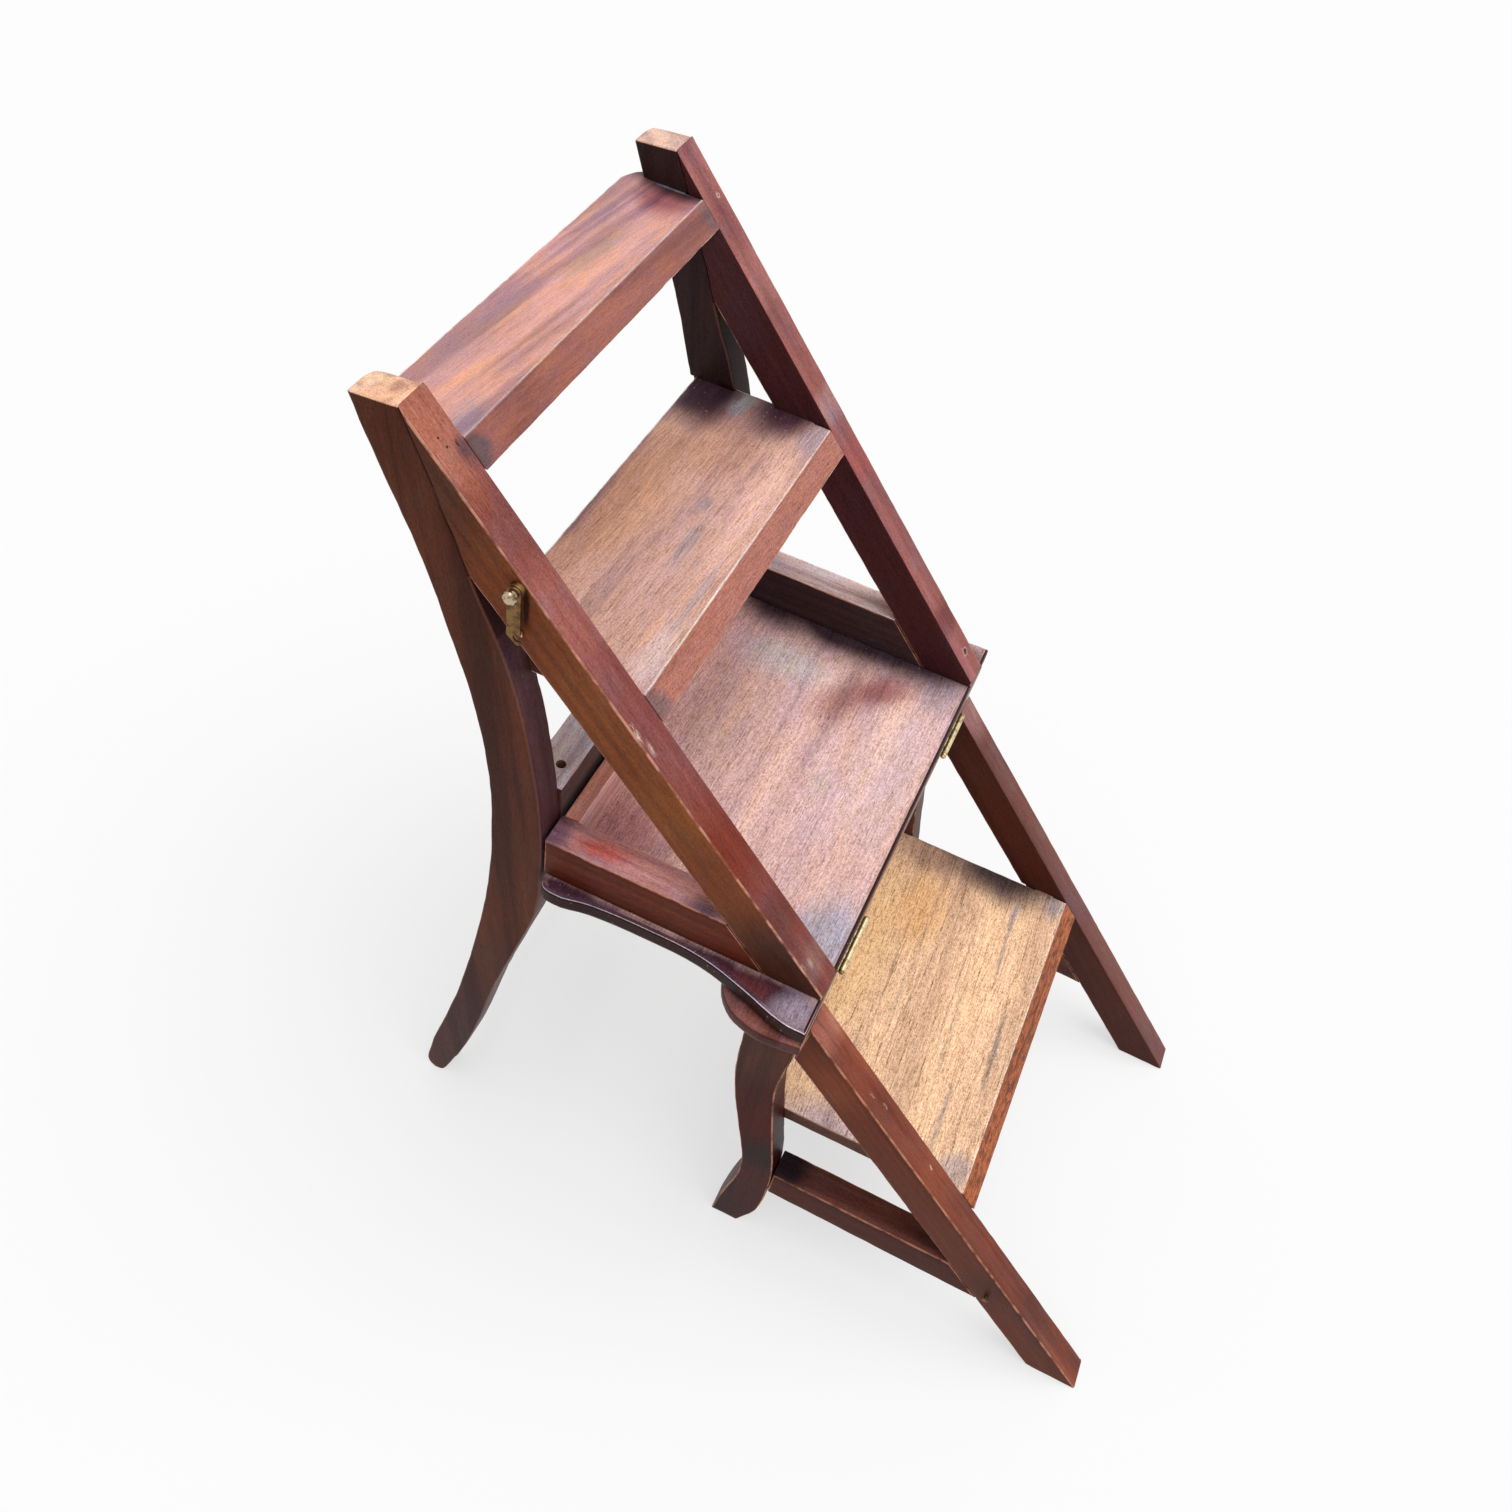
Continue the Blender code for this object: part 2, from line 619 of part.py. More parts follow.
notch_drop = math.sqrt(latch_reach ** 2 - notch_offset ** 2)
half = latch_width / 2
lip = notch_drop + notch_radius
tip = notch_drop + latch_tail
top_arc = [(half * math.cos(math.radians(a)), half * math.sin(math.radians(a)))
           for a in range(0, 181, 30)]
bite = [(notch_radius * math.sin(math.radians(a)) - notch_offset,
         notch_radius * math.cos(math.radians(a)) - notch_drop) for a in range(0, 181, 30)]
latch_outline = top_arc + [(-half, notch_radius - notch_drop)] + bite
latch_outline += [(-half, -lip), (-half * 0.9, -tip), (-half * 0.4, -tip),
                  (half, -notch_drop)]
latch_mesh = outline_mesh("latch_plate", latch_outline, latch_thickness, latch_arris, 1, 0)
latch_plate = add("latch_plate", latch_mesh, latch,
                  (plate_inner - latch_thickness / 2, latch_pivot_y, latch_pivot_z), aged_brass,
                  side_turn)
bore_length = 2 * (latch_standoff + latch_thickness + cutter_margin)
cut(latch_plate, cylinder_cutter("latch_pivot_bore", latch,
                                 (plate_inner, latch_pivot_y, latch_pivot_z),
                                 pivot_shank_radius + pivot_clearance, bore_length, across, 24))

head_seat = latch_standoff + latch_thickness + joint_gap
dome_seat = head_seat + pivot_neck_height
dome = [(0, dome_seat + pivot_head_height),
        (pivot_head_radius * 0.50, dome_seat + pivot_head_height * 0.88),
        (pivot_head_radius * 0.86, dome_seat + pivot_head_height * 0.52),
        (pivot_head_radius, dome_seat + pivot_head_height * 0.12),
        (pivot_head_radius * 0.97, dome_seat)]
pivot_profile = dome + [(pivot_neck_radius, dome_seat), (pivot_neck_radius, head_seat),
                        (pivot_shank_radius, head_seat), (pivot_shank_radius, joint_gap),
                        (0, joint_gap)]
turned("latch_pivot_screw", upper_frame, pivot_profile,
       (stringer_face, latch_pivot_y, latch_pivot_z), aged_brass, 24)
spacer_outer = latch_standoff - joint_gap
spacer_profile = [(spacer_bore, spacer_outer), (spacer_radius * 0.94, spacer_outer),
                  (spacer_radius, spacer_outer * 0.8), (spacer_radius, joint_gap),
                  (spacer_bore, joint_gap)]
turned("latch_spacer", upper_frame, spacer_profile,
       (stringer_face, latch_pivot_y, latch_pivot_z), aged_brass, 24)
parking_profile = [(0, parking_screw_height),
                   (parking_screw_radius * 0.6, parking_screw_height * 0.93),
                   (parking_screw_radius * 0.9, parking_screw_height * 0.7),
                   (parking_screw_radius, parking_screw_height * 0.3),
                   (parking_screw_radius, joint_gap), (0, joint_gap)]
turned("latch_parking_screw", upper_frame, parking_profile,
       (stringer_face, latch_pivot_y - notch_offset, latch_pivot_z - notch_drop), aged_brass, 16)

stud_turn = lock_angle + math.atan2(notch_offset, notch_drop)
stud_y = -2 * fold_setback - latch_pivot_y + latch_reach * math.sin(stud_turn)
stud_z = overall_height - latch_pivot_z + latch_reach * math.cos(stud_turn)
stud_seat = head_seat - frame_step
stud_profile = [(0, stud_seat + stud_head_height),
                (stud_head_radius * 0.7, stud_seat + stud_head_height * 0.8),
                (stud_head_radius, stud_seat + stud_head_height * 0.3),
                (stud_head_radius, stud_seat), (stud_radius, stud_seat),
                (stud_radius, joint_gap), (0, joint_gap)]
turned("latch_stud", lower_frame, stud_profile, (-lower_half, stud_y, stud_z), aged_brass, 16)
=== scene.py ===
"""Looks of the library step chair: worn mahogany and brass, light, floor and camera."""

import math

import bmesh
import bpy
from mathutils import Matrix, Vector, noise
from mathutils.bvhtree import BVHTree


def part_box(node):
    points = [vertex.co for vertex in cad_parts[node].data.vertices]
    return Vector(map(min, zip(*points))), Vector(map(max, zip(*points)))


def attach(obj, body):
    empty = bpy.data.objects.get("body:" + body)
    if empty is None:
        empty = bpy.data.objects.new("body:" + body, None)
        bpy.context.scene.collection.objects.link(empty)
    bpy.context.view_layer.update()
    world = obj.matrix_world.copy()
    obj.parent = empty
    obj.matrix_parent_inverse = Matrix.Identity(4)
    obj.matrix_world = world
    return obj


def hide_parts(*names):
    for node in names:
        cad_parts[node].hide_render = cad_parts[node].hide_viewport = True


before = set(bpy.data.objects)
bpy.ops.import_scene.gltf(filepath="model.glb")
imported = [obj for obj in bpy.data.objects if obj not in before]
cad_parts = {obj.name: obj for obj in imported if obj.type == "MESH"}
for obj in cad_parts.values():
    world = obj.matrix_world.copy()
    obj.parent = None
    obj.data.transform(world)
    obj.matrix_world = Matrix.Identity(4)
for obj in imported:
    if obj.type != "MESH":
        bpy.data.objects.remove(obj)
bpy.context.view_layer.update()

SLOPE = math.atan(1.13701)                  # stringers, from the floor
UP_SLOPE = (0, math.cos(SLOPE), math.sin(SLOPE))
ACROSS = (1, 0, 0)
DEPTH = (0, 1, 0)
HEIGHT = (0, 0, 1)

# Sides of a piece, told apart by the direction that they face
FACINGS = {"top": (0, 0, 1), "slope": (0, -0.751, 0.660), "front": (0, -1, 0), "near": (-1, 0, 0),
           "far": (1, 0, 0), "back": (0, 1, 0), "under": (0, 0, -1),
           "rim": (-0.707, 0, 0.707)}

scene = bpy.context.scene
scene.view_settings.view_transform = "Standard"


# Node helpers
class Tree:
    """Adds nodes to one node tree; every call returns the node's output socket."""

    def __init__(self, tree):
        self.tree = tree

    def put(self, kind, inputs=None, out=0, **settings):
        node = self.tree.nodes.new(kind)
        for key, value in settings.items():
            setattr(node, key, value)
        for key, value in (inputs or {}).items():
            socket = node.inputs[key]
            if isinstance(value, bpy.types.NodeSocket):
                self.tree.links.new(value, socket)
            else:
                socket.default_value = value
        return node.outputs[out] if node.outputs else node

    def math(self, operation, *values, clamp=False):
        return self.put("ShaderNodeMath", dict(enumerate(values)), operation=operation,
                        use_clamp=clamp)

    def vector(self, operation, *values, out=0):
        return self.put("ShaderNodeVectorMath", dict(enumerate(values)), out,
                        operation=operation)

    def mix(self, factor, a, b, blend="MIX"):
        return self.put("ShaderNodeMix", {0: factor, 6: a, 7: b}, 2, data_type="RGBA",
                        blend_type=blend)

    def smooth(self, value, low, high, to_low=0.0, to_high=1.0):
        return self.put("ShaderNodeMapRange", {0: value, 1: low, 2: high, 3: to_low, 4: to_high},
                        interpolation_type="SMOOTHSTEP")

    def noise(self, vector, scale=(1, 1, 1), detail=2.0, rough=0.5, out=0):
        scaled = self.vector("MULTIPLY", vector, scale)
        return self.put("ShaderNodeTexNoise", {"Vector": scaled, "Scale": 1.0, "Detail": detail,
                                               "Roughness": rough}, out)

    def shifted(self, vector, scale, amount, detail=2.0):
        """The vector moved about by noise, for ragged outlines."""
        field = self.noise(vector, (scale,) * 3, detail, out=1)
        centred = self.vector("SUBTRACT", field, (0.5, 0.5, 0.5))
        push = self.vector("SCALE", centred)
        push.node.inputs["Scale"].default_value = amount
        return self.vector("ADD", vector, push)


def rgb(red, green, blue):
    return (red, green, blue, 1.0)


# Timber: grain runs along x of the incoming vector, lengths in metres
COOL = rgb(0.95, 0.98, 1.10)
WARM = rgb(1.05, 1.02, 0.88)


def timber_group():
    group = bpy.data.node_groups.new("timber", "ShaderNodeTree")
    face = group.interface
    for name, kind in (("Vector", "NodeSocketVector"), ("Dark", "NodeSocketColor"),
                       ("Mid", "NodeSocketColor"), ("Light", "NodeSocketColor"),
                       ("Figure", "NodeSocketFloat"), ("Fibre", "NodeSocketFloat"),
                       ("Lines", "NodeSocketFloat"), ("Drift", "NodeSocketFloat")):
        face.new_socket(name, in_out="INPUT", socket_type=kind)
    for name, kind in (("Color", "NodeSocketColor"), ("Height", "NodeSocketFloat"),
                       ("Smudge", "NodeSocketFloat")):
        face.new_socket(name, in_out="OUTPUT", socket_type=kind)
    t = Tree(group)
    given = group.nodes.new("NodeGroupInput").outputs
    vector = given["Vector"]
    bend = t.noise(vector, (2.5, 11, 11), 2.0, 0.5, 1)
    bend = t.vector("SUBTRACT", bend, (0.5, 0.5, 0.5))
    bend = t.vector("MULTIPLY", bend, (0.0, 0.016, 0.016))
    ripple = t.noise(vector, (45, 70, 70), 1.0, 0.5, 1)
    ripple = t.vector("SUBTRACT", ripple, (0.5, 0.5, 0.5))
    bend = t.vector("ADD", bend, t.vector("MULTIPLY", ripple, (0.0, 0.0018, 0.0018)))
    grain = t.vector("ADD", vector, bend)

    bands = t.noise(grain, (1.1, 42, 42), 2.0, 0.5)
    streaks = t.noise(grain, (3.0, 150, 150), 3.0, 0.6)
    blotch = t.noise(vector, (7, 13, 13), 3.0, 0.55)
    fibres = t.noise(grain, (45, 1000, 1000), 2.0, 0.6)
    pores = t.noise(grain, (95, 1300, 1300), 1.0, 0.5)
    flecks = t.noise(vector, (520, 800, 800), 2.0, 0.7)
    lines = t.noise(grain, (8, 520, 520), 2.0, 0.55)

    figure = t.math("MULTIPLY_ADD", bands, 0.70, t.math("MULTIPLY", streaks, 0.30))
    figure = t.math("MULTIPLY_ADD", t.math("SUBTRACT", blotch, 0.5), 0.30, figure)
    spread = t.math("MULTIPLY", t.math("SUBTRACT", figure, 0.5), given["Figure"])
    tone = t.math("ADD", spread, 0.5, clamp=True)
    colour = t.mix(t.smooth(tone, 0.18, 0.55), given["Dark"], given["Mid"])
    colour = t.mix(t.smooth(tone, 0.50, 0.88), colour, given["Light"])
    grey = t.math("MULTIPLY_ADD", t.math("SUBTRACT", fibres, 0.5),
                  t.math("MULTIPLY", given["Fibre"], 1.05), 1.05)
    fleck = t.math("MULTIPLY", t.math("SUBTRACT", flecks, 0.5),
                   t.math("MULTIPLY", given["Fibre"], 1.7))
    grey = t.math("ADD", grey, fleck)
    pore = t.smooth(pores, 0.33, 0.45, 1.0, 0.0)
    grey = t.math("SUBTRACT", grey, t.math("MULTIPLY", pore,
                                           t.math("MULTIPLY", given["Fibre"], 0.28)))
    line = t.smooth(lines, 0.58, 0.70)
    grey = t.math("SUBTRACT", grey, t.math("MULTIPLY", line, given["Lines"]))
    grey = t.math("MAXIMUM", grey, 0.12)
    grain_tint = t.put("ShaderNodeCombineXYZ", {0: t.math("POWER", grey, 0.85), 1: grey,
                                                2: t.math("POWER", grey, 1.15)})
    colour = t.vector("MULTIPLY", colour, grain_tint)
    for scale in ((8, 26, 26), (26, 95, 95)):
        warmth = t.smooth(t.noise(vector, scale, 3.0, 0.6), 0.34, 0.66)
        tint = t.mix(given["Drift"], rgb(1, 1, 1), t.mix(warmth, COOL, WARM))
        colour = t.vector("MULTIPLY", colour, tint)
    height = t.math("MULTIPLY_ADD", fibres, 0.5, t.math("MULTIPLY", pore, -0.8))
    result = group.nodes.new("NodeGroupOutput")
    t.tree.links.new(colour, result.inputs["Color"])
    t.tree.links.new(height, result.inputs["Height"])
    t.tree.links.new(blotch, result.inputs["Smudge"])
    return group


TIMBER = timber_group()

# Colours for stained and worn marks, and GLINT for painted highlights
PALE = rgb(0.80, 0.55, 0.45)
TAN = rgb(0.62, 0.36, 0.24)
INK = rgb(0.022, 0.012, 0.015)
PLUM = rgb(0.12, 0.055, 0.080)
SMOKE = rgb(0.30, 0.23, 0.26)
CHIP = rgb(0.85, 0.62, 0.50)
GLINT = rgb(1.0, 0.84, 0.76)


def wood(name, along, dark, light, figure=2.0, fibre=0.5, patches=(), edge=TAN,
         edge_amount=0.55, roughness=0.40, specular=0.06, painted_sheen=0.0, dust_and_glints=0.0,
         lines=0.0, drift=0.5, seed=0):
    """Timber coloured by its sides' own colours. The rest is relative to these.

    A patch is (colour, strength, centre, half sizes, core, raggedness, turn as Euler angles,
    side). A raggedness below 0 keeps its outline straight.
    """
    material = bpy.data.materials.new(name)
    material.use_nodes = True
    t = Tree(material.node_tree)
    shader = material.node_tree.nodes["Principled BSDF"]
    place = t.put("ShaderNodeTexCoord", out=3)
    first = Vector(along).normalized()
    second = (Vector(ACROSS) if abs(first.x) < 0.5 else Vector(DEPTH)).cross(first).normalized()
    turn = Matrix((first, second, first.cross(second))).to_euler()
    grain = t.put("ShaderNodeMapping", {"Vector": place, "Rotation": turn,
                                        "Location": (seed * 1.37, seed * 0.71, seed * 0.53)})
    node = material.node_tree.nodes.new("ShaderNodeGroup")
    node.node_tree = TIMBER
    t.tree.links.new(grain, node.inputs["Vector"])
    for key, value in (("Dark", dark), ("Mid", (1, 1, 1)), ("Light", light)):
        node.inputs[key].default_value = rgb(*value)
    node.inputs["Figure"].default_value = figure
    node.inputs["Fibre"].default_value = fibre
    node.inputs["Lines"].default_value = lines
    node.inputs["Drift"].default_value = drift
    variation, height, smudge = (node.outputs[key] for key in ("Color", "Height", "Smudge"))

    colour = t.put("ShaderNodeAttribute", attribute_name="stain")
    if patches:
        broad = t.shifted(place, 22.0, 0.022)
        fine = t.shifted(place, 150.0, 0.004)
    side = t.put("ShaderNodeAttribute", out=2, attribute_name="side")
    for paint, strength, centre, half, core, ragged, lean, only in patches:
        field = place if ragged < 0 else fine if ragged or min(half[:2]) < 0.012 else broad
        unit = t.put("ShaderNodeMapping", {"Vector": field, "Location": centre, "Scale": half,
                                           "Rotation": lean}, vector_type="TEXTURE")
        reach = t.vector("LENGTH", unit, out=1)
        mask = t.smooth(reach, core, 1.0, strength, 0.0)
        if ragged > 0:
            grit = t.noise(grain, (ragged * 0.3, ragged, ragged), 3.0, 0.7)
            mask = t.math("MULTIPLY", mask, t.smooth(grit, 0.44, 0.60))
        if only:
            same = t.math("COMPARE", side, float(list(FACINGS).index(only)), 0.1)
            mask = t.math("MULTIPLY", mask, same)
        colour = t.mix(mask, colour, paint)
    colour = t.vector("MULTIPLY", colour, variation)
    # Painted sheen: hazy patches that cool and lighten the colour, standing in for the sky's reflection in the
    # finish
    if painted_sheen:
        sheen_haze = t.smooth(t.noise(place, (24, 24, 24), 4.0, 0.6), 0.48, 0.66, 0.0, painted_sheen)
        colour = t.mix(sheen_haze, colour, rgb(0.90, 1.40, 1.75), "MULTIPLY")
    # Pale specks: partly specks of dirt, partly painted glints of the finish
    if dust_and_glints:
        specks = t.smooth(t.noise(place, (300, 300, 300), 1.0, 0.5), 0.70, 0.78, 0.0, dust_and_glints)
        colour = t.mix(specks, colour, PALE)

    # Arris faces take the edge colour in patches: wear, and where the edge colour is pale (GLINT, the frame's
    # salmon) also a painted highlight line
    arris = t.put("ShaderNodeAttribute", out=2, attribute_name="arris")
    edge_breakup = t.noise(place, (60, 60, 60), 3.0, 0.6)
    worn = t.math("MULTIPLY", arris, t.smooth(edge_breakup, 0.36, 0.62, 0.10, edge_amount))
    colour = t.mix(worn, colour, edge)
    t.tree.links.new(colour, shader.inputs["Base Color"])
    gloss = t.math("MULTIPLY_ADD", smudge, 0.25, roughness - 0.12)
    gloss = t.math("MULTIPLY_ADD", worn, 0.15, gloss)
    t.tree.links.new(gloss, shader.inputs["Roughness"])
    bump = t.put("ShaderNodeBump", {"Height": height, "Strength": 0.30, "Distance": 0.0007})
    t.tree.links.new(bump, shader.inputs["Normal"])
    shader.inputs["Specular IOR Level"].default_value = specular
    return material


# Dressed copies of the wooden nodes: welded, sliced and with worn arrises
NARROW = 0.0022                  # faces narrower than this are arris faces
JOINT = 0.0016                   # an arris this near another piece is inside a joint


def slices(low, high, step):
    count = int((high - low) / step)
    return [low + (high - low) * (i + 0.5) / max(count, 1) for i in range(count)]


def colour_faces(mesh, side_colours):
    """Stores the side each face lies on, and the colour given to that side, which for a few sides is painted
    sheen.
    """
    mesh.attributes.new("stain", "FLOAT_COLOR", "FACE")
    mesh.attributes.new("side", "FLOAT", "FACE")
    layers = [mesh.attributes[name].data for name in ("stain", "side")]
    names = [name for name in FACINGS if name != "rim" or "rim" in side_colours]
    for face, colour, number in zip(mesh.polygons, *layers):
        side = max(names, key=lambda name: face.normal.dot(Vector(FACINGS[name])))
        colour.color = rgb(*side_colours.get(side, side_colours["rest"]))
        number.value = float(list(FACINGS).index(side))


def near_a_joint(face, body, node):
    """Whether an arris face lies against another piece, where it can't be rubbed."""
    centre = face.calc_center_median()
    for other, tree in SOLIDS.items():
        if other != node and PLAN[other][0] == body and tree.find_nearest(centre, JOINT)[0]:
            return True
    return False


# Edges that wear has rounded: all round this side of the piece, by this much
SOFTENED = {"top_tread": ("slope", 0.0012), "second_tread": ("slope", 0.0012),
            "lowest_tread": ("slope", 0.0010)}


def soften(work, node, side, amount):
    facing = Vector(FACINGS[side])
    edges = []
    for edge in work.edges:
        if len(edge.link_faces) == 2 and edge.is_convex \
                and edge.calc_face_angle() > math.radians(30) \
                and any(face.normal.dot(facing) > 0.98 for face in edge.link_faces):
            middle = (edge.verts[0].co + edge.verts[1].co) / 2
            if not any(tree.find_nearest(middle, JOINT)[0] for other, tree in SOLIDS.items()
                       if other != node):
                edges.append(edge)
    bmesh.ops.bevel(work, geom=edges, offset=amount, segments=4, profile=0.5, affect="EDGES",
                    clamp_overlap=True)


# The stiles' tops are worn down to the rear and round: radius between each two sides
STILE_TOP = 0.8708
TILT = math.atan(0.082)
TOP_FRONT = Vector((0, 0.3411, STILE_TOP))
TOP_NORMAL = Vector((0, math.sin(TILT), math.cos(TILT)))
STILE_REAR = (Vector((0, 0.3778, 0.8667)), Vector((0, 0.927, -0.375)))
WORN_TOP = {("top", "rear"): 0.005, ("top", "near"): 0.0012, ("top", "far"): 0.005,
            ("rear", "far"): 0.020, ("rear", "near"): 0.003}
WORN_DEPTH = 0.045               # upright edges are worn this far down
FADE = 0.035                     # and their wear grows to its full over this height


def round_top(work):
    start = STILE_TOP - WORN_DEPTH
    across = [vert.co.x for vert in work.verts if vert.co.z > start]
    planes = {"top": (TOP_FRONT, TOP_NORMAL), "rear": STILE_REAR,
              "near": (Vector((min(across), 0, 0)), Vector((-1, 0, 0))),
              "far": (Vector((max(across), 0, 0)), Vector((1, 0, 0)))}
    cuts = [(Vector((0, 0, start)), Vector((0, 0, 1)))]
    for side, (at, normal) in planes.items():
        widest = max(radius for pair, radius in WORN_TOP.items() if side in pair)
        cuts += [(at - normal * widest * share, normal)
                 for share in (0.04, 0.12, 0.25, 0.42, 0.62, 0.82, 1.0)]
    for at, normal in cuts:
        faces = [face for face in work.faces if all(v.co.z > start - 1e-5 for v in face.verts)
                 ] if at.z != start else work.faces[:]
        edges = list({edge for face in faces for edge in face.edges})
        verts = list({vert for face in faces for vert in face.verts})
        bmesh.ops.bisect_plane(work, geom=verts + edges + faces, plane_co=at, plane_no=normal)
    for vert in work.verts:
        if vert.co.z < start:
            continue
        vert.co.z -= max(0.0, (vert.co - TOP_FRONT).dot(TOP_NORMAL)) / TOP_NORMAL.z
        rise = min(1.0, (vert.co.z - start) / FADE)
        for (first, second), full in WORN_TOP.items():
            radius = full if first == "top" else full * rise
            (one, out_one), (two, out_two) = planes[first], planes[second]
            u = radius - (one - vert.co).dot(out_one)
            v = radius - (two - vert.co).dot(out_two)
            reach = math.hypot(u, v)
            if u > 0 and v > 0 and reach > radius:
                pull = 1 - radius / reach
                vert.co -= out_one * u * pull + out_two * v * pull


def dressed(node, material, body, side_colours, wear=0.0004, step=0.009, axes=(0, 1, 2)):
    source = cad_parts[node].data
    work = bmesh.new()
    work.from_mesh(source)
    bmesh.ops.remove_doubles(work, verts=work.verts, dist=0.00002)
    bmesh.ops.dissolve_limit(work, angle_limit=math.radians(0.3), verts=work.verts,
                             edges=work.edges)
    work.normal_update()
    if node in SOFTENED:
        soften(work, node, *SOFTENED[node])
    layer = work.faces.layers.float.new("arris")
    for face in work.faces:
        longest = max(edge.calc_length() for edge in face.edges)
        narrow = face.calc_area() / longest < NARROW
        face[layer] = 1.0 if narrow and not near_a_joint(face, body, node) else 0.0
    low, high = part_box(node)
    for axis in axes:
        normal = Vector([1.0 if i == axis else 0.0 for i in range(3)])
        for at in slices(low[axis], high[axis], step):
            geometry = work.verts[:] + work.edges[:] + work.faces[:]
            bmesh.ops.bisect_plane(work, geom=geometry, plane_co=normal * at, plane_no=normal)
    if node.startswith("stile"):
        round_top(work)
    work.normal_update()
    moves = {}
    for vertex in work.verts:
        if any(face[layer] for face in vertex.link_faces):
            rough = noise.noise(vertex.co * 55) + 0.6 * noise.noise(vertex.co * 170)
            moves[vertex] = vertex.normal * (-wear * max(0.0, 0.35 + rough))
    for vertex, move in moves.items():
        vertex.co += move
    mesh = bpy.data.meshes.new(node + "_dressed")
    work.to_mesh(mesh)
    work.free()
    mesh.shade_smooth()
    mesh.set_sharp_from_angle(angle=math.radians(40))
    piece = bpy.data.objects.new(node + "_finished", mesh)
    scene.collection.objects.link(piece)
    mesh.materials.clear()
    mesh.materials.append(material)
    colour_faces(mesh, side_colours)
    weighted = piece.modifiers.new("face weighted normals", "WEIGHTED_NORMAL")
    weighted.keep_sharp = True
    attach(piece, body)
    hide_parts(node)
    return piece


# Edge colours on the arrises: on the frame and stringers part wear, part painted highlight; GLINT on the top
# and second treads is a painted highlight line
FRAME = dict(dark=(0.58, 0.54, 0.56), light=(1.38, 1.50, 1.44), figure=2.2, fibre=0.8,
             painted_sheen=0.4, edge=rgb(0.66, 0.30, 0.19), edge_amount=0.7)
STRINGER = {**FRAME, "figure": 1.4, "edge": rgb(0.68, 0.33, 0.23), "edge_amount": 0.85}
STILE = {**FRAME, "edge_amount": 0.12}
TREAD = dict(dark=(0.64, 0.62, 0.72), light=(1.16, 1.14, 1.06), figure=2.8, fibre=0.55,
             lines=0.10, drift=0.9, edge=GLINT, edge_amount=1.0, roughness=0.34,
             specular=0.2)
PLAIN = dict(dark=(0.72, 0.70, 0.74), light=(1.14, 1.16, 1.12), figure=1.8, edge=GLINT,
             edge_amount=1.0, fibre=1.05, lines=0.16, drift=0.42, dust_and_glints=0.25, roughness=0.34,
             specular=0.2)
SEAT = {**PLAIN, "edge": rgb(0.34, 0.18, 0.17), "edge_amount": 0.6,
        "specular": 0.08}
GOLD = dict(dark=(0.76, 0.74, 0.76), light=(1.10, 1.12, 1.10), figure=2.2, edge=TAN,
            fibre=1.25, lines=0.40, drift=0.05, dust_and_glints=0.15, roughness=0.45, specular=0.2)


def side_colours(rest, **sides):
    return {"rest": rest, **sides}


def patch(colour, strength, centre, half, core=0.2, ragged=0, turn=0, side=""):
    """A coloured place: a stained or scuffed mark, or painted sheen, highlight or shadow. Turn is in degrees
    from above, or UPHILL to lie along the stringers.
    """
    lean = turn if isinstance(turn, tuple) else (0, 0, math.radians(turn))
    return colour if len(colour) == 4 else rgb(*colour), strength, centre, half, core, ragged, \
        lean, side


UPHILL = (SLOPE, 0, 0)


def uphill(colour, strength, place, half):
    """A coloured band across a stringer's slope, at (x, y) and half as far each way along y."""
    x, y = place
    rise = math.tan(SLOPE)
    height = 0.4829 + rise * y if y > -0.012 or x > 0.19 and y > -0.01 else 0.4344 + rise * y
    return patch(colour, strength, (x, y, height), (0.05, half, rise * half), side="slope")


def scuff(colour, strength, centre, half, ragged=450):
    return patch(colour, strength, centre, half, 0.1, ragged, UPHILL)


def end_grain(colour, x):
    """The bare top of a stile, and the first of its sides' edges."""
    return [patch(colour, 1.0, (x, 0.360, STILE_TOP), (0.10, 0.10, 0.025), 0.9, -1, side="top"),
            patch(colour, 1.0, (x, *TOP_FRONT.yz), (0.10, 0.10, 0.0016), 0.5, -1, (-TILT, 0, 0))]


def painted_highlight_line(colour, strength, y, height):
    """A thin straight painted highlight along the front of a tread's top."""
    return [patch(colour, strength, (0, y, height), (0.6, 0.0013, 0.0016), 0.3, -1)]


def on_top(height, *marks):
    """Patches on a level top, given as (colour, strength, (x, y), half sizes, core, turn)."""
    return [patch(colour, strength, (*place, height), (*half, 0.03), core, 0, turn, "top")
            for colour, strength, place, half, core, turn in marks]


UMBER = (0.115, 0.040, 0.025)
MAROON = (0.065, 0.016, 0.013)
NIGHT = (0.045, 0.022, 0.034)
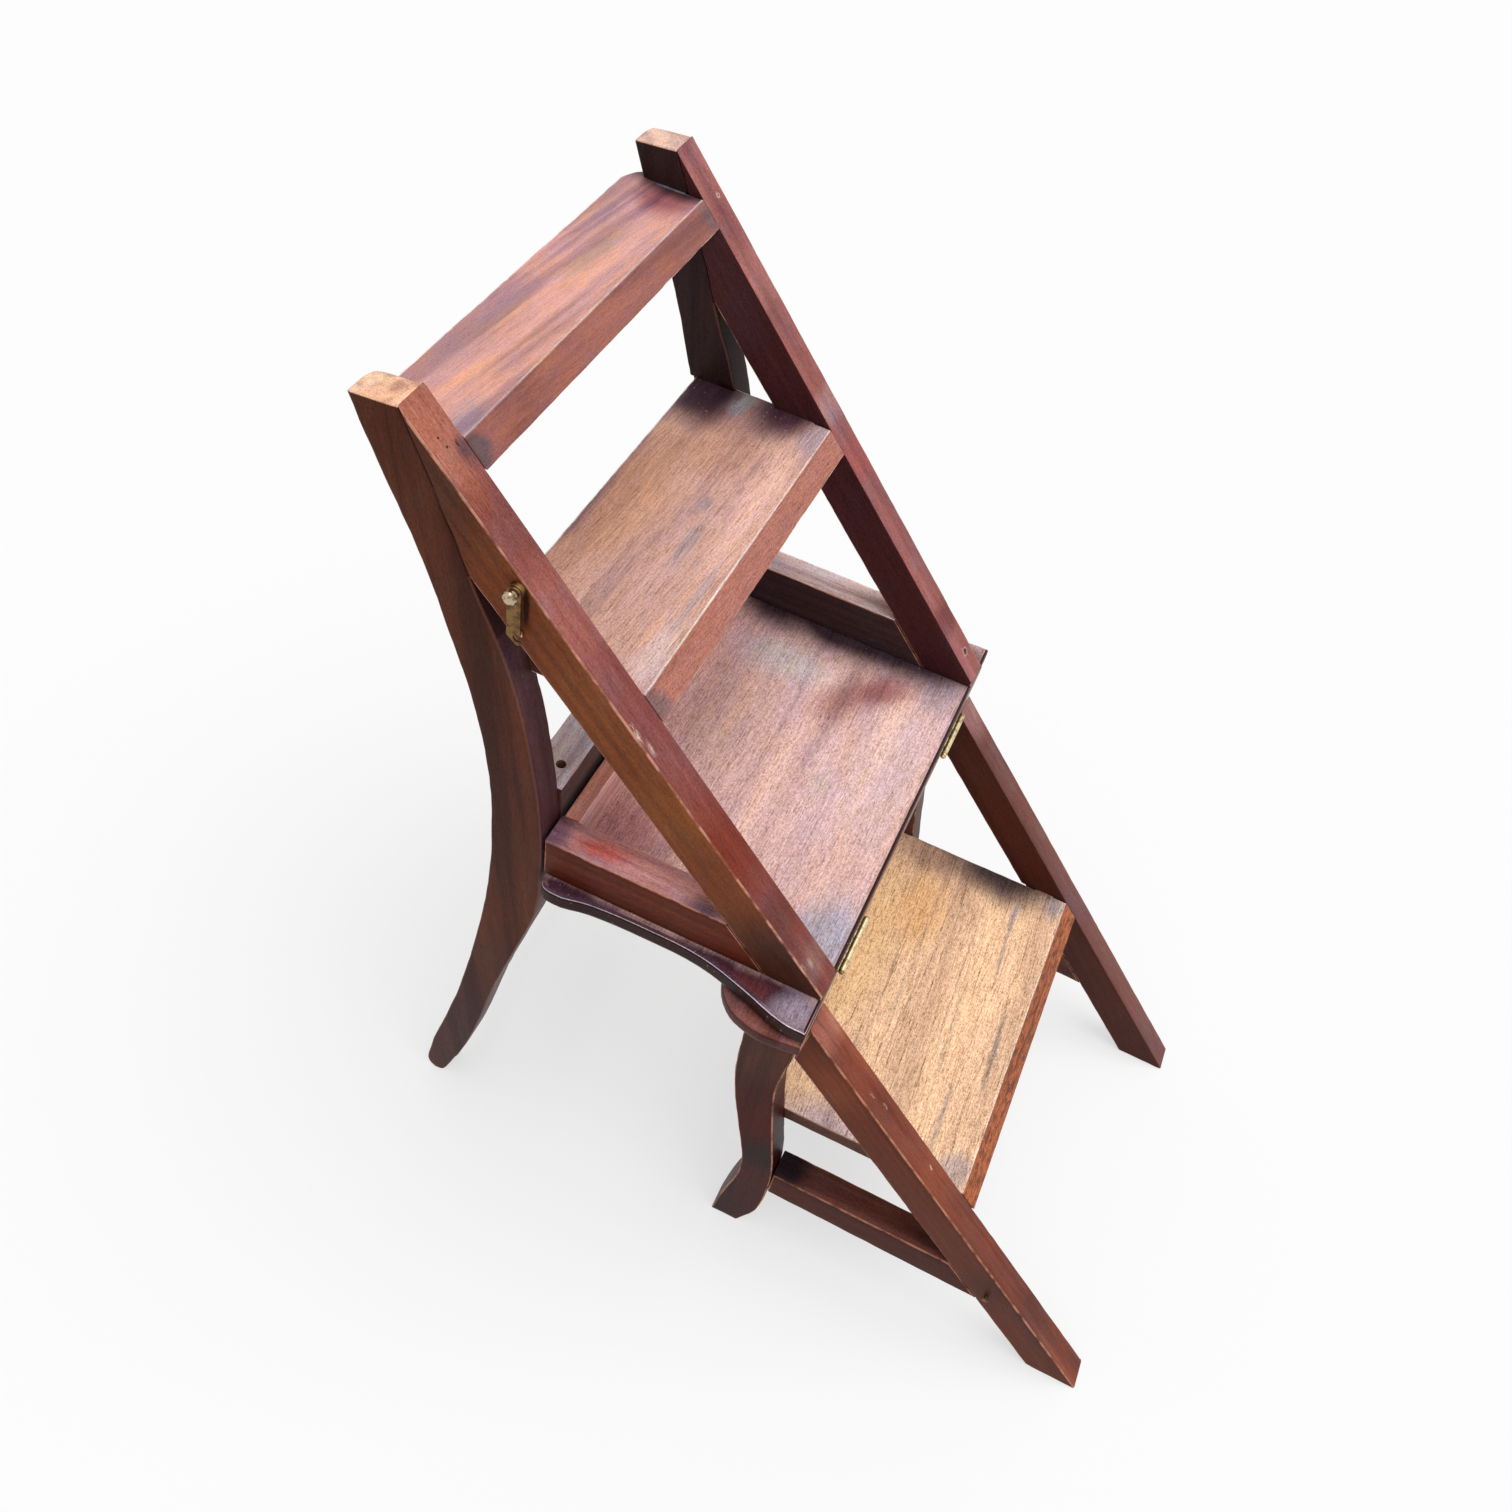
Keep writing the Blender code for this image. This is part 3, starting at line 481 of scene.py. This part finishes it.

# node: (body, slot, grain, palette, colours of its sides, patches)
PLAN = {
    "stile_left": ("upper_frame", "frame_wood", (0, 0.12, 1), STILE, side_colours(
        (0.086, 0.021, 0.009), far=MAROON, front=(0.100, 0.038, 0.043),
        slope=(0.052, 0.018, 0.017)), [
        *end_grain((0.94, 0.53, 0.36), -0.192),
        patch((0.052, 0.018, 0.019), 0.7, (-0.215, 0.330, 0.62), (0.05, 0.030, 0.16)),
        patch((0.056, 0.023, 0.023), 0.6, (-0.215, 0.330, 0.10), (0.05, 0.080, 0.20)),
        patch((0.130, 0.040, 0.017), 0.6, (-0.215, 0.345, 0.75), (0.05, 0.030, 0.10)),
    ]),
    "stile_right": ("upper_frame", "frame_wood", (0, 0.12, 1), STILE, side_colours(
        UMBER, near=(0.030, 0.013, 0.014), front=(0.028, 0.005, 0.006),
        slope=(0.033, 0.008, 0.009)), end_grain((0.63, 0.38, 0.32), 0.192)),
    "upper_stringer_left": ("upper_frame", "frame_wood", UP_SLOPE, STRINGER, side_colours(
        UMBER, near=(0.200, 0.050, 0.014), far=MAROON, slope=(0.235, 0.064, 0.054)), [
        uphill((0.48, 0.170, 0.120), 0.8, (-0.195, 0.325), 0.065),
        uphill((0.38, 0.125, 0.105), 0.7, (-0.195, 0.230), 0.060),
        uphill((0.19, 0.028, 0.012), 0.8, (-0.195, 0.085), 0.060),
        uphill((0.13, 0.034, 0.026), 0.7, (-0.195, 0.035), 0.030),
        uphill((0.28, 0.140, 0.120), 0.7, (-0.195, 0.000), 0.018),
        patch((0.095, 0.028, 0.014), 0.95, (-0.207, 0.340, 0.83), (0.03, 0.100, 0.110), 0.35,
              side="near"),
        patch((0.230, 0.066, 0.020), 0.7, (-0.207, 0.200, 0.68), (0.03, 0.060, 0.07),
              side="near"),
        patch((0.056, 0.018, 0.012), 0.9, (-0.207, 0.010, 0.475), (0.03, 0.085, 0.095), 0.3,
              side="near"),
        patch((0.240, 0.075, 0.020), 0.6, (-0.207, 0.130, 0.60), (0.03, 0.060, 0.05),
              side="near"),
        scuff(CHIP, 0.85, (-0.2040, 0.1660, 0.6720), (0.0040, 0.016, 0.004)),
        scuff((0.60, 0.42, 0.36), 0.7, (-0.2005, 0.1525, 0.6568), (0.0045, 0.009, 0.004), 250),
        scuff((0.84, 0.52, 0.42), 0.9, (-0.2115, 0.0350, 0.5227), (0.0036, 0.050, 0.004)),
        scuff((0.84, 0.52, 0.42), 0.8, (-0.2118, 0.1250, 0.6250), (0.0032, 0.042, 0.004)),
        scuff((0.84, 0.52, 0.42), 0.8, (-0.2118, 0.2300, 0.7444), (0.0028, 0.060, 0.004)),
        scuff((0.46, 0.28, 0.25), 0.9, (-0.1960, 0.0012, 0.4843), (0.0045, 0.0070, 0.004), 120),
        scuff(CHIP, 0.8, (-0.2049, 0.0041, 0.4876), (0.0035, 0.0050, 0.003), 500),
        patch((0.11, 0.060, 0.075), 0.8, (-0.179, 0.308, 0.833), (0.012, 0.014, 0.016), 0.2),
        patch(INK, 1.0, (-0.1948, 0.3210, 0.8480), (0.0012, 0.0012, 0.0014), 0.4, -1),
        patch(INK, 1.0, (-0.1930, 0.3159, 0.8421), (0.0012, 0.0012, 0.0014), 0.4, -1),
        patch(INK, 0.9, (-0.1840, 0.3140, 0.8400), (0.0012, 0.0040, 0.0045), 0.2),
        # Painted shadow of the latch plate on the stringer's near face; it stays when the latch swings
        patch((0.014, 0.006, 0.005), 0.85, (-0.207, 0.2502, 0.7495), (0.02, 0.0032, 0.022), 0.4,
              -1, side="near"),
    ]),
    "upper_stringer_right": ("upper_frame", "frame_wood", UP_SLOPE, STRINGER, side_colours(
        UMBER, near=(0.064, 0.017, 0.018), slope=(0.330, 0.112, 0.106)), [
        uphill((0.17, 0.040, 0.035), 0.8, (0.195, 0.028), 0.024),
        uphill((0.40, 0.100, 0.090), 0.7, (0.195, 0.145), 0.030),
        # painted highlight across the slope
        uphill((0.46, 0.270, 0.270), 0.6, (0.195, 0.182), 0.020),
        uphill((0.48, 0.180, 0.150), 0.8, (0.195, 0.265), 0.040),
        uphill((0.44, 0.170, 0.165), 0.6, (0.195, 0.325), 0.035),
        patch(CHIP, 0.7, (0.1976, 0.3101, 0.8356), (0.0035, 0.0035, 0.0040), 0.3),
        patch(INK, 1.0, (0.1976, 0.3101, 0.8356), (0.0014, 0.0014, 0.0016), 0.5),
        patch((0.60, 0.38, 0.36), 0.8, (0.1937, 0.0002, 0.4832), (0.0060, 0.0050, 0.0060), 0.5),
        patch(UMBER, 1.0, (0.1937, 0.0002, 0.4832), (0.0040, 0.0034, 0.0040), 0.5),
    ]),
    "seat_side_rail_left": ("upper_frame", "frame_wood", DEPTH, FRAME, side_colours(
        MAROON, top=(0.80, 0.36, 0.34), near=(0.104, 0.018, 0.007)), [
        patch((0.30, 0.15, 0.21), 0.95, (-0.195, 0.238, 0.50), (0.04, 0.032, 0.02), 0.4,
              side="top"),
        patch((0.80, 0.14, 0.09), 0.8, (-0.190, 0.185, 0.50), (0.012, 0.035, 0.02), 0.2,
              side="top"),
        patch((0.20, 0.13, 0.18), 0.9, (-0.205, 0.095, 0.50), (0.020, 0.020, 0.02), 0.2,
              side="top"),
    ]),
    # Its top's colour is painted sheen, set very light to lift the shade it lies in
    "seat_side_rail_right": ("upper_frame", "frame_wood", DEPTH, FRAME, side_colours(
        UMBER, top=(1.0, 0.72, 0.70), near=(0.054, 0.027, 0.029)), []),
    "lower_stringer_left": ("lower_frame", "frame_wood", UP_SLOPE, FRAME, side_colours(
        UMBER, near=(0.110, 0.019, 0.005), far=MAROON, slope=(0.230, 0.057, 0.033)), [
        uphill((0.44, 0.140, 0.090), 0.85, (-0.200, -0.025), 0.030),
        uphill((0.17, 0.042, 0.026), 0.6, (-0.195, -0.095), 0.030),
        uphill((0.29, 0.072, 0.035), 0.7, (-0.195, -0.165), 0.050),
        uphill((0.16, 0.045, 0.028), 0.6, (-0.195, -0.305), 0.040),
        patch((0.060, 0.012, 0.004), 0.7, (-0.207, -0.255, 0.125), (0.03, 0.035, 0.045),
              side="near"),
        patch((0.170, 0.036, 0.012), 0.8, (-0.207, -0.055, 0.350), (0.03, 0.050, 0.060),
              side="near"),
        scuff(CHIP, 0.7, (-0.1930, -0.0980, 0.3230), (0.0025, 0.0060, 0.003)),
        scuff(CHIP, 0.6, (-0.1980, -0.0850, 0.3378), (0.0020, 0.0080, 0.003)),
        scuff(CHIP, 0.7, (-0.1920, -0.1570, 0.2560), (0.0022, 0.0050, 0.003)),
    ]),
    "lower_stringer_right": ("lower_frame", "frame_wood", UP_SLOPE, STRINGER, side_colours(
        UMBER, near=(0.078, 0.020, 0.014), slope=(0.160, 0.056, 0.049)), [
        uphill((0.36, 0.160, 0.145), 0.85, (0.195, -0.022), 0.040)]),
    "front_leg_left": ("lower_frame", "frame_wood", HEIGHT, FRAME, side_colours(
        (0.063, 0.005, 0.001), front=(0.062, 0.006, 0.002)), [
        patch((0.110, 0.034, 0.016), 0.8, (-0.210, 0.02, 0.36), (0.08, 0.080, 0.09)),
        patch((0.040, 0.013, 0.010), 0.8, (-0.210, 0.05, 0.04), (0.08, 0.120, 0.14)),
        patch((0.016, 0.007, 0.008), 0.8, (-0.210, -0.012, 0.165), (0.06, 0.040, 0.05)),
    ]),
    "front_leg_right": ("lower_frame", "frame_wood", HEIGHT, FRAME, side_colours(UMBER), []),
    "side_stretcher_left": ("lower_frame", "frame_wood", DEPTH, FRAME, side_colours(
        UMBER, top=(0.20, 0.068, 0.050), near=(0.066, 0.008, 0.002)), [
        # near-black on the front end of the stretcher's top
        patch(INK, 0.95, (-0.195, -0.036, 0.136), (0.06, 0.036, 0.04), 0.35, side="top")]),
    "side_stretcher_right": ("lower_frame", "frame_wood", DEPTH, FRAME, side_colours(
        UMBER, top=(0.23, 0.080, 0.062)), []),
    "front_rail": ("lower_frame", "frame_wood", ACROSS, FRAME, side_colours(UMBER), []),
    # Its top's colour is painted sheen, set very light to lift the shade it lies in
    "rear_rail": ("upper_frame", "frame_wood", ACROSS, FRAME, side_colours(
        UMBER, top=(1.0, 0.80, 0.82), front=(0.12, 0.070, 0.070)), []),
    "crest_rail": ("upper_frame", "frame_wood", ACROSS, FRAME, side_colours(UMBER), []),
    "lower_back_rail": ("upper_frame", "frame_wood", ACROSS, FRAME, side_colours(UMBER), []),
    "seat_front_board": ("lower_frame", "frame_wood", ACROSS, FRAME, side_colours(
        (0.105, 0.036, 0.032), top=(0.28, 0.10, 0.09), front=(0.42, 0.21, 0.16)), []),
    "seat_rear_apron": ("upper_frame", "tread_wood", ACROSS, FRAME, side_colours(
        UMBER, top=(0.64, 0.24, 0.19), front=(0.95, 0.52, 0.50)), []),
    "top_tread": ("upper_frame", "tread_wood", (1, -0.105, 0), TREAD, side_colours(
        UMBER, top=(0.74, 0.365, 0.305), slope=(0.35, 0.122, 0.096), back=(0.4, 0.16, 0.11)),
        on_top(0.84,
               ((0.52, 0.30, 0.30), 0.55, (-0.090, 0.367), (0.070, 0.014), 0.2, 0),
               ((0.52, 0.30, 0.28), 0.5, (-0.035, 0.363), (0.050, 0.010), 0.2, 0),
               ((0.46, 0.27, 0.26), 0.9, (0.060, 0.346), (0.060, 0.011), 0.2, -6),
               ((0.50, 0.33, 0.35), 0.9, (-0.160, 0.320), (0.034, 0.016), 0.2, 0),
               ((0.88, 0.36, 0.26), 0.6, (0.030, 0.383), (0.110, 0.008), 0.2, 0),
               ((0.52, 0.27, 0.25), 0.6, (0.115, 0.368), (0.060, 0.018), 0.2, 0),
               ((0.32, 0.09, 0.10), 0.88, (0.158, 0.335), (0.038, 0.040), 0.2, 0),
               ((0.030, 0.016, 0.022), 0.97, (0.196, 0.338), (0.040, 0.052), 0.5, 0),
               # painted sheen line at the far end
               ((0.30, 0.27, 0.29), 0.7, (0.175, 0.340), (0.0022, 0.022), 0.2, 0)) +
        # painted highlight line along the top tread's front
        painted_highlight_line(GLINT, 0.4, 0.3140, 0.84) + [
        patch((0.12, 0.075, 0.085), 0.9, (-0.171, 0.305, 0.83), (0.012, 0.012, 0.03), 0.4,
              side="slope"),
        patch((0.20, 0.12, 0.13), 0.7, (0.180, 0.306, 0.830), (0.022, 0.020, 0.03), 0.2,
              side="slope")]),
    "second_tread": ("upper_frame", "tread_wood", (1, -0.04, 0), PLAIN, side_colours(
        UMBER, top=(0.66, 0.375, 0.305), slope=(0.45, 0.163, 0.116), back=(0.2, 0.08, 0.06)),
        on_top(0.6788,
               ((0.86, 0.50, 0.43), 0.85, (0.050, 0.188), (0.130, 0.026), 0.2, 0),
               ((0.58, 0.29, 0.18), 0.8, (0.000, 0.274), (0.150, 0.034), 0.2, 0),
               ((0.82, 0.57, 0.54), 0.8, (-0.140, 0.184), (0.055, 0.020), 0.2, 0),
               ((0.42, 0.30, 0.30), 0.75, (-0.020, 0.214), (0.045, 0.008), 0.2, 0),
               ((0.38, 0.27, 0.28), 0.75, (0.028, 0.222), (0.018, 0.012), 0.2, 0),
               ((0.50, 0.37, 0.40), 0.75, (-0.070, 0.183), (0.070, 0.005), 0.2, 0),
               ((0.80, 0.42, 0.27), 0.7, (-0.115, 0.196), (0.030, 0.006), 0.2, 0),
               ((0.60, 0.30, 0.19), 0.6, (0.095, 0.240), (0.050, 0.040), 0.2, 0),
               ((0.45, 0.33, 0.40), 0.85, (0.158, 0.180), (0.042, 0.018), 0.2, 0),
               ((0.28, 0.12, 0.10), 0.85, (0.160, 0.262), (0.062, 0.066), 0.2, 0),
               (NIGHT, 0.97, (0.180, 0.289), (0.085, 0.050), 0.45, 0),
               ((0.060, 0.020, 0.038), 0.95, (0.188, 0.214), (0.068, 0.038), 0.35, 0),
               # painted sheen at the far end
               ((0.27, 0.25, 0.28), 0.95, (0.168, 0.249), (0.034, 0.013), 0.2, 0),
               ((0.52, 0.25, 0.17), 0.7, (-0.020, 0.290), (0.170, 0.022), 0.2, 0),
               ((0.20, 0.09, 0.11), 0.9, (0.000, 0.307), (0.240, 0.017), 0.2, 0)) +
        # painted highlight line along the second tread's front
        painted_highlight_line(GLINT, 0.7, 0.1723, 0.6788) + [
        patch((0.17, 0.11, 0.12), 0.75, (-0.176, 0.163, 0.669), (0.022, 0.020, 0.03), 0.3,
              side="slope")]),
    "seat_board": ("upper_frame", "seat_wood", ACROSS, SEAT, side_colours(
        (0.026, 0.004, 0.004), top=(0.78, 0.49, 0.46), under=(0.20, 0.074, 0.056), rim=(0.085, 0.035, 0.055)), [
        # painted sheen on the rim at the front corner
        patch((0.30, 0.20, 0.26), 0.9, (-0.238, -0.002, 0.452), (0.030, 0.035, 0.02), 0.3,
              side="rim"),
        patch((0.20, 0.12, 0.15), 0.8, (-0.238, 0.235, 0.452), (0.030, 0.045, 0.02), 0.3,
              side="rim"),
        # painted highlight line along the rounded rim
        patch((0.92, 0.78, 0.86), 0.95, (-0.240, 0.100, 0.4540), (0.050, 0.400, 0.0008), 0.3, -1),
    ] + on_top(0.4569,
               ((0.66, 0.41, 0.36), 0.85, (0.015, 0.180), (0.120, 0.060), 0.2, 0),
               ((0.46, 0.20, 0.19), 0.90, (-0.145, 0.190), (0.090, 0.070), 0.2, 0),
               ((0.86, 0.58, 0.54), 0.7, (0.040, 0.015), (0.140, 0.048), 0.2, 0),
               ((0.58, 0.43, 0.42), 0.6, (-0.005, 0.062), (0.030, 0.018), 0.2, 0),
               # painted sheen
               ((0.70, 0.58, 0.58), 0.9, (0.116, 0.150), (0.036, 0.072), 0.2, 0),
               ((0.50, 0.25, 0.23), 0.8, (0.086, 0.090), (0.046, 0.028), 0.1, -40),
               ((0.34, 0.12, 0.11), 0.9, (0.126, 0.058), (0.066, 0.032), 0.1, -50),
               ((0.44, 0.31, 0.34), 0.85, (0.155, 0.006), (0.040, 0.032), 0.2, 0),
               (NIGHT, 0.98, (0.199, 0.110), (0.066, 0.220), 0.45, 0),
               # painted sheen at the near front corner
               ((0.46, 0.41, 0.47), 0.9, (-0.150, 0.000), (0.065, 0.038), 0.2, 0),
               ((0.075, 0.026, 0.042), 1.0, (-0.250, 0.110), (0.052, 0.350), 0.75, 0),
               ((0.15, 0.034, 0.036), 0.8, (-0.224, 0.045), (0.020, 0.035), 0.3, 0),
               # painted sheen at the near front corner, outside the side rail
               ((0.33, 0.25, 0.32), 0.9, (-0.226, -0.004), (0.030, 0.026), 0.3, 0))),
    "lowest_tread": ("lower_frame", "worn_wood", (1, 0.04, 0), GOLD, side_colours(
        UMBER, top=(1.0, 0.63, 0.385), slope=(0.46, 0.120, 0.034), back=(0.3, 0.12, 0.06)), [
        patch((0.13, 0.034, 0.014), 0.85, (0, -0.205, 0.203), (0.60, 0.03, 0.020), 0.8, 260,
              side="slope"),
        patch((0.34, 0.25, 0.21), 0.9, (-0.030, -0.178, 0.213), (0.075, 0.0050, 0.03), 0.2, 240,
              3, "top"),
        patch((0.34, 0.25, 0.21), 0.9, (0.100, -0.151, 0.213), (0.065, 0.0040, 0.03), 0.2, 240,
              3, "top"),
        patch((0.38, 0.29, 0.25), 0.9, (-0.120, -0.153, 0.213), (0.060, 0.0045, 0.03), 0.2, 240,
              2, "top")] +
        # painted highlight line along the lowest tread's front
        painted_highlight_line(GLINT, 0.5, -0.1947, 0.213) +
        on_top(0.213,
               # painted light: brighter at the rear, lifting the shade of the seat above
               ((1.0, 0.60, 0.30), 0.85, (0.020, -0.015), (0.170, 0.050), 0.2, 0),
               ((0.45, 0.25, 0.18), 0.85, (0.168, -0.050), (0.045, 0.070), 0.2, 0),
               ((0.90, 0.48, 0.20), 0.8, (0.090, -0.058), (0.070, 0.040), 0.2, 0),
               ((0.92, 0.55, 0.33), 0.6, (0.000, -0.147), (0.200, 0.014), 0.2, 2),
               ((0.26, 0.16, 0.13), 0.85, (0.172, -0.128), (0.046, 0.056), 0.2, 0),
               ((0.12, 0.085, 0.09), 0.85, (0.188, -0.045), (0.018, 0.060), 0.3, 0),
               ((0.060, 0.035, 0.038), 0.97, (0.192, -0.125), (0.060, 0.085), 0.3, 0),
               ((0.42, 0.34, 0.35), 0.85, (0.168, -0.186), (0.028, 0.018), 0.2, 0),
               ((0.72, 0.52, 0.54), 0.90, (-0.190, -0.075), (0.055, 0.090), 0.3, 0),
               ((0.52, 0.38, 0.36), 0.85, (-0.165, -0.182), (0.032, 0.024), 0.2, 0),
               ((0.38, 0.32, 0.33), 0.8, (0.138, -0.149), (0.024, 0.0050), 0.2, 0),
               ((0.42, 0.30, 0.24), 0.7, (-0.030, -0.178), (0.070, 0.0040), 0.2, 3),
               ((0.42, 0.30, 0.24), 0.7, (0.085, -0.152), (0.060, 0.0030), 0.2, 3),
               ((0.46, 0.34, 0.28), 0.6, (-0.120, -0.153), (0.060, 0.0040), 0.2, 2),
               ((0.62, 0.40, 0.25), 0.5, (0.020, -0.072), (0.150, 0.0060), 0.2, 1),
               ((0.62, 0.40, 0.25), 0.5, (-0.020, -0.132), (0.150, 0.0050), 0.2, 3),
               ((0.42, 0.28, 0.18), 0.7, (-0.050, -0.082), (0.110, 0.0014), 0.2, -2),
               ((0.42, 0.28, 0.18), 0.7, (0.050, -0.120), (0.120, 0.0014), 0.2, 2),
               ((0.42, 0.28, 0.18), 0.7, (0.020, -0.055), (0.120, 0.0014), 0.2, 3))),
}

SOLIDS = {}
for node in PLAN:
    shape = bmesh.new()
    shape.from_mesh(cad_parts[node].data)
    SOLIDS[node] = BVHTree.FromBMesh(shape)
    shape.free()

for seed, (node, spec) in enumerate(PLAN.items()):
    body, slot, along, palette, colours_of_sides, patches = spec
    look = wood(node, along, patches=patches, seed=seed, **palette)
    dressed(node, look, body, colours_of_sides)


# Brass
def brass(name, bright, tarnish, amount, roughness):
    material = bpy.data.materials.new(name)
    material.use_nodes = True
    t = Tree(material.node_tree)
    shader = material.node_tree.nodes["Principled BSDF"]
    place = t.put("ShaderNodeTexCoord", out=3)
    spots = t.noise(place, (160, 160, 160), 4.0, 0.65)
    mask = t.smooth(spots, 0.55 - amount * 0.3, 0.70 - amount * 0.2)
    t.tree.links.new(t.mix(mask, bright, tarnish), shader.inputs["Base Color"])
    t.tree.links.new(t.math("MULTIPLY_ADD", spots, 0.35, roughness - 0.12),
                     shader.inputs["Roughness"])
    fine = t.noise(place, (700, 700, 700), 2.0, 0.6)
    bump = t.put("ShaderNodeBump", {"Height": fine, "Strength": 0.25, "Distance": 0.0003})
    t.tree.links.new(bump, shader.inputs["Normal"])
    shader.inputs["Metallic"].default_value = 1.0
    return material


HINGE = brass("hinge_brass_worn", rgb(0.78, 0.62, 0.36), rgb(0.34, 0.24, 0.12), 0.25, 0.30)
AGED = brass("aged_brass_worn", rgb(0.22, 0.120, 0.044), rgb(0.11, 0.060, 0.024), 0.35, 0.40)
RUBBED = brass("rubbed_brass_worn", rgb(0.50, 0.39, 0.27), rgb(0.14, 0.09, 0.05), 0.30, 0.20)
for name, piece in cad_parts.items():
    if "hinge" in name or name.startswith("latch"):
        look = HINGE if "hinge" in name else RUBBED if "screw" in name else AGED
        piece.data.materials.clear()
        piece.data.materials.append(look)


# Floor and background
def floor_material():
    material = bpy.data.materials.new("pale_floor")
    material.use_nodes = True
    t = Tree(material.node_tree)
    material.node_tree.nodes.clear()
    diffuse = t.put("ShaderNodeBsdfDiffuse", {"Color": rgb(0.93, 0.93, 0.93)})
    glow = t.put("ShaderNodeEmission", {"Color": rgb(1, 1, 1), "Strength": 1.0})
    path = t.put("ShaderNodeLightPath")
    seen = path.node.outputs
    shown = t.math("MAXIMUM", seen["Is Camera Ray"], seen["Is Glossy Ray"])
    shown = t.math("MAXIMUM", shown, seen["Is Transmission Ray"])
    lit = t.put("ShaderNodeMixShader", {0: t.math("MULTIPLY", shown, 0.62), 1: diffuse, 2: glow})
    t.put("ShaderNodeOutputMaterial", {"Surface": lit})
    return material


bpy.ops.mesh.primitive_plane_add(size=60, location=(0, 0, -0.0005))
floor = bpy.context.object
floor.name = "floor"
floor.data.materials.append(floor_material())

world = bpy.data.worlds.new("studio")
scene.world = world
world.use_nodes = True
world.node_tree.nodes.clear()
t = Tree(world.node_tree)
seen = t.put("ShaderNodeLightPath").node.outputs
shown = t.math("MAXIMUM", seen["Is Camera Ray"], seen["Is Glossy Ray"])
shown = t.math("MAXIMUM", shown, seen["Is Transmission Ray"])
strength = t.put("ShaderNodeMapRange", {0: shown, 1: 0.0, 2: 1.0, 3: 0.50, 4: 1.0})
background = t.put("ShaderNodeBackground", {"Color": rgb(1, 1, 1), "Strength": strength})
t.put("ShaderNodeOutputWorld", {"Surface": background})


def softbox(name, lean, strength, spread=55):
    """A broad even light from far above, leaning by (x, y) for each unit of height."""
    lamp = bpy.data.lights.new(name, "SUN")
    lamp.energy = strength
    lamp.angle = math.radians(spread)
    holder = bpy.data.objects.new(name, lamp)
    scene.collection.objects.link(holder)
    holder.rotation_euler = Vector((*lean, 1)).to_track_quat("Z", "Y").to_euler()
    return holder


softbox("overhead", (0.05, -0.25), 0.55 * math.pi)

# Camera of the photograph
camera_data = bpy.data.cameras.new("camera")
camera = bpy.data.objects.new("camera", camera_data)
scene.collection.objects.link(camera)
scene.camera = camera
right = Vector((0.40836, -0.90314, 0.13259))
forward = Vector((0.62190, 0.16893, -0.76466))
up = right.cross(forward)
camera.matrix_world = Matrix.Translation((-0.77889, -0.06549, 1.40307)) @ Matrix(
    (right, up, -forward)).transposed().to_4x4()
camera_data.sensor_width = 36.0
camera_data.lens = 33.071
camera_data.shift_x = 0.01206
camera_data.shift_y = -0.00275
camera_data.clip_start = 0.05
camera_data.clip_end = 100
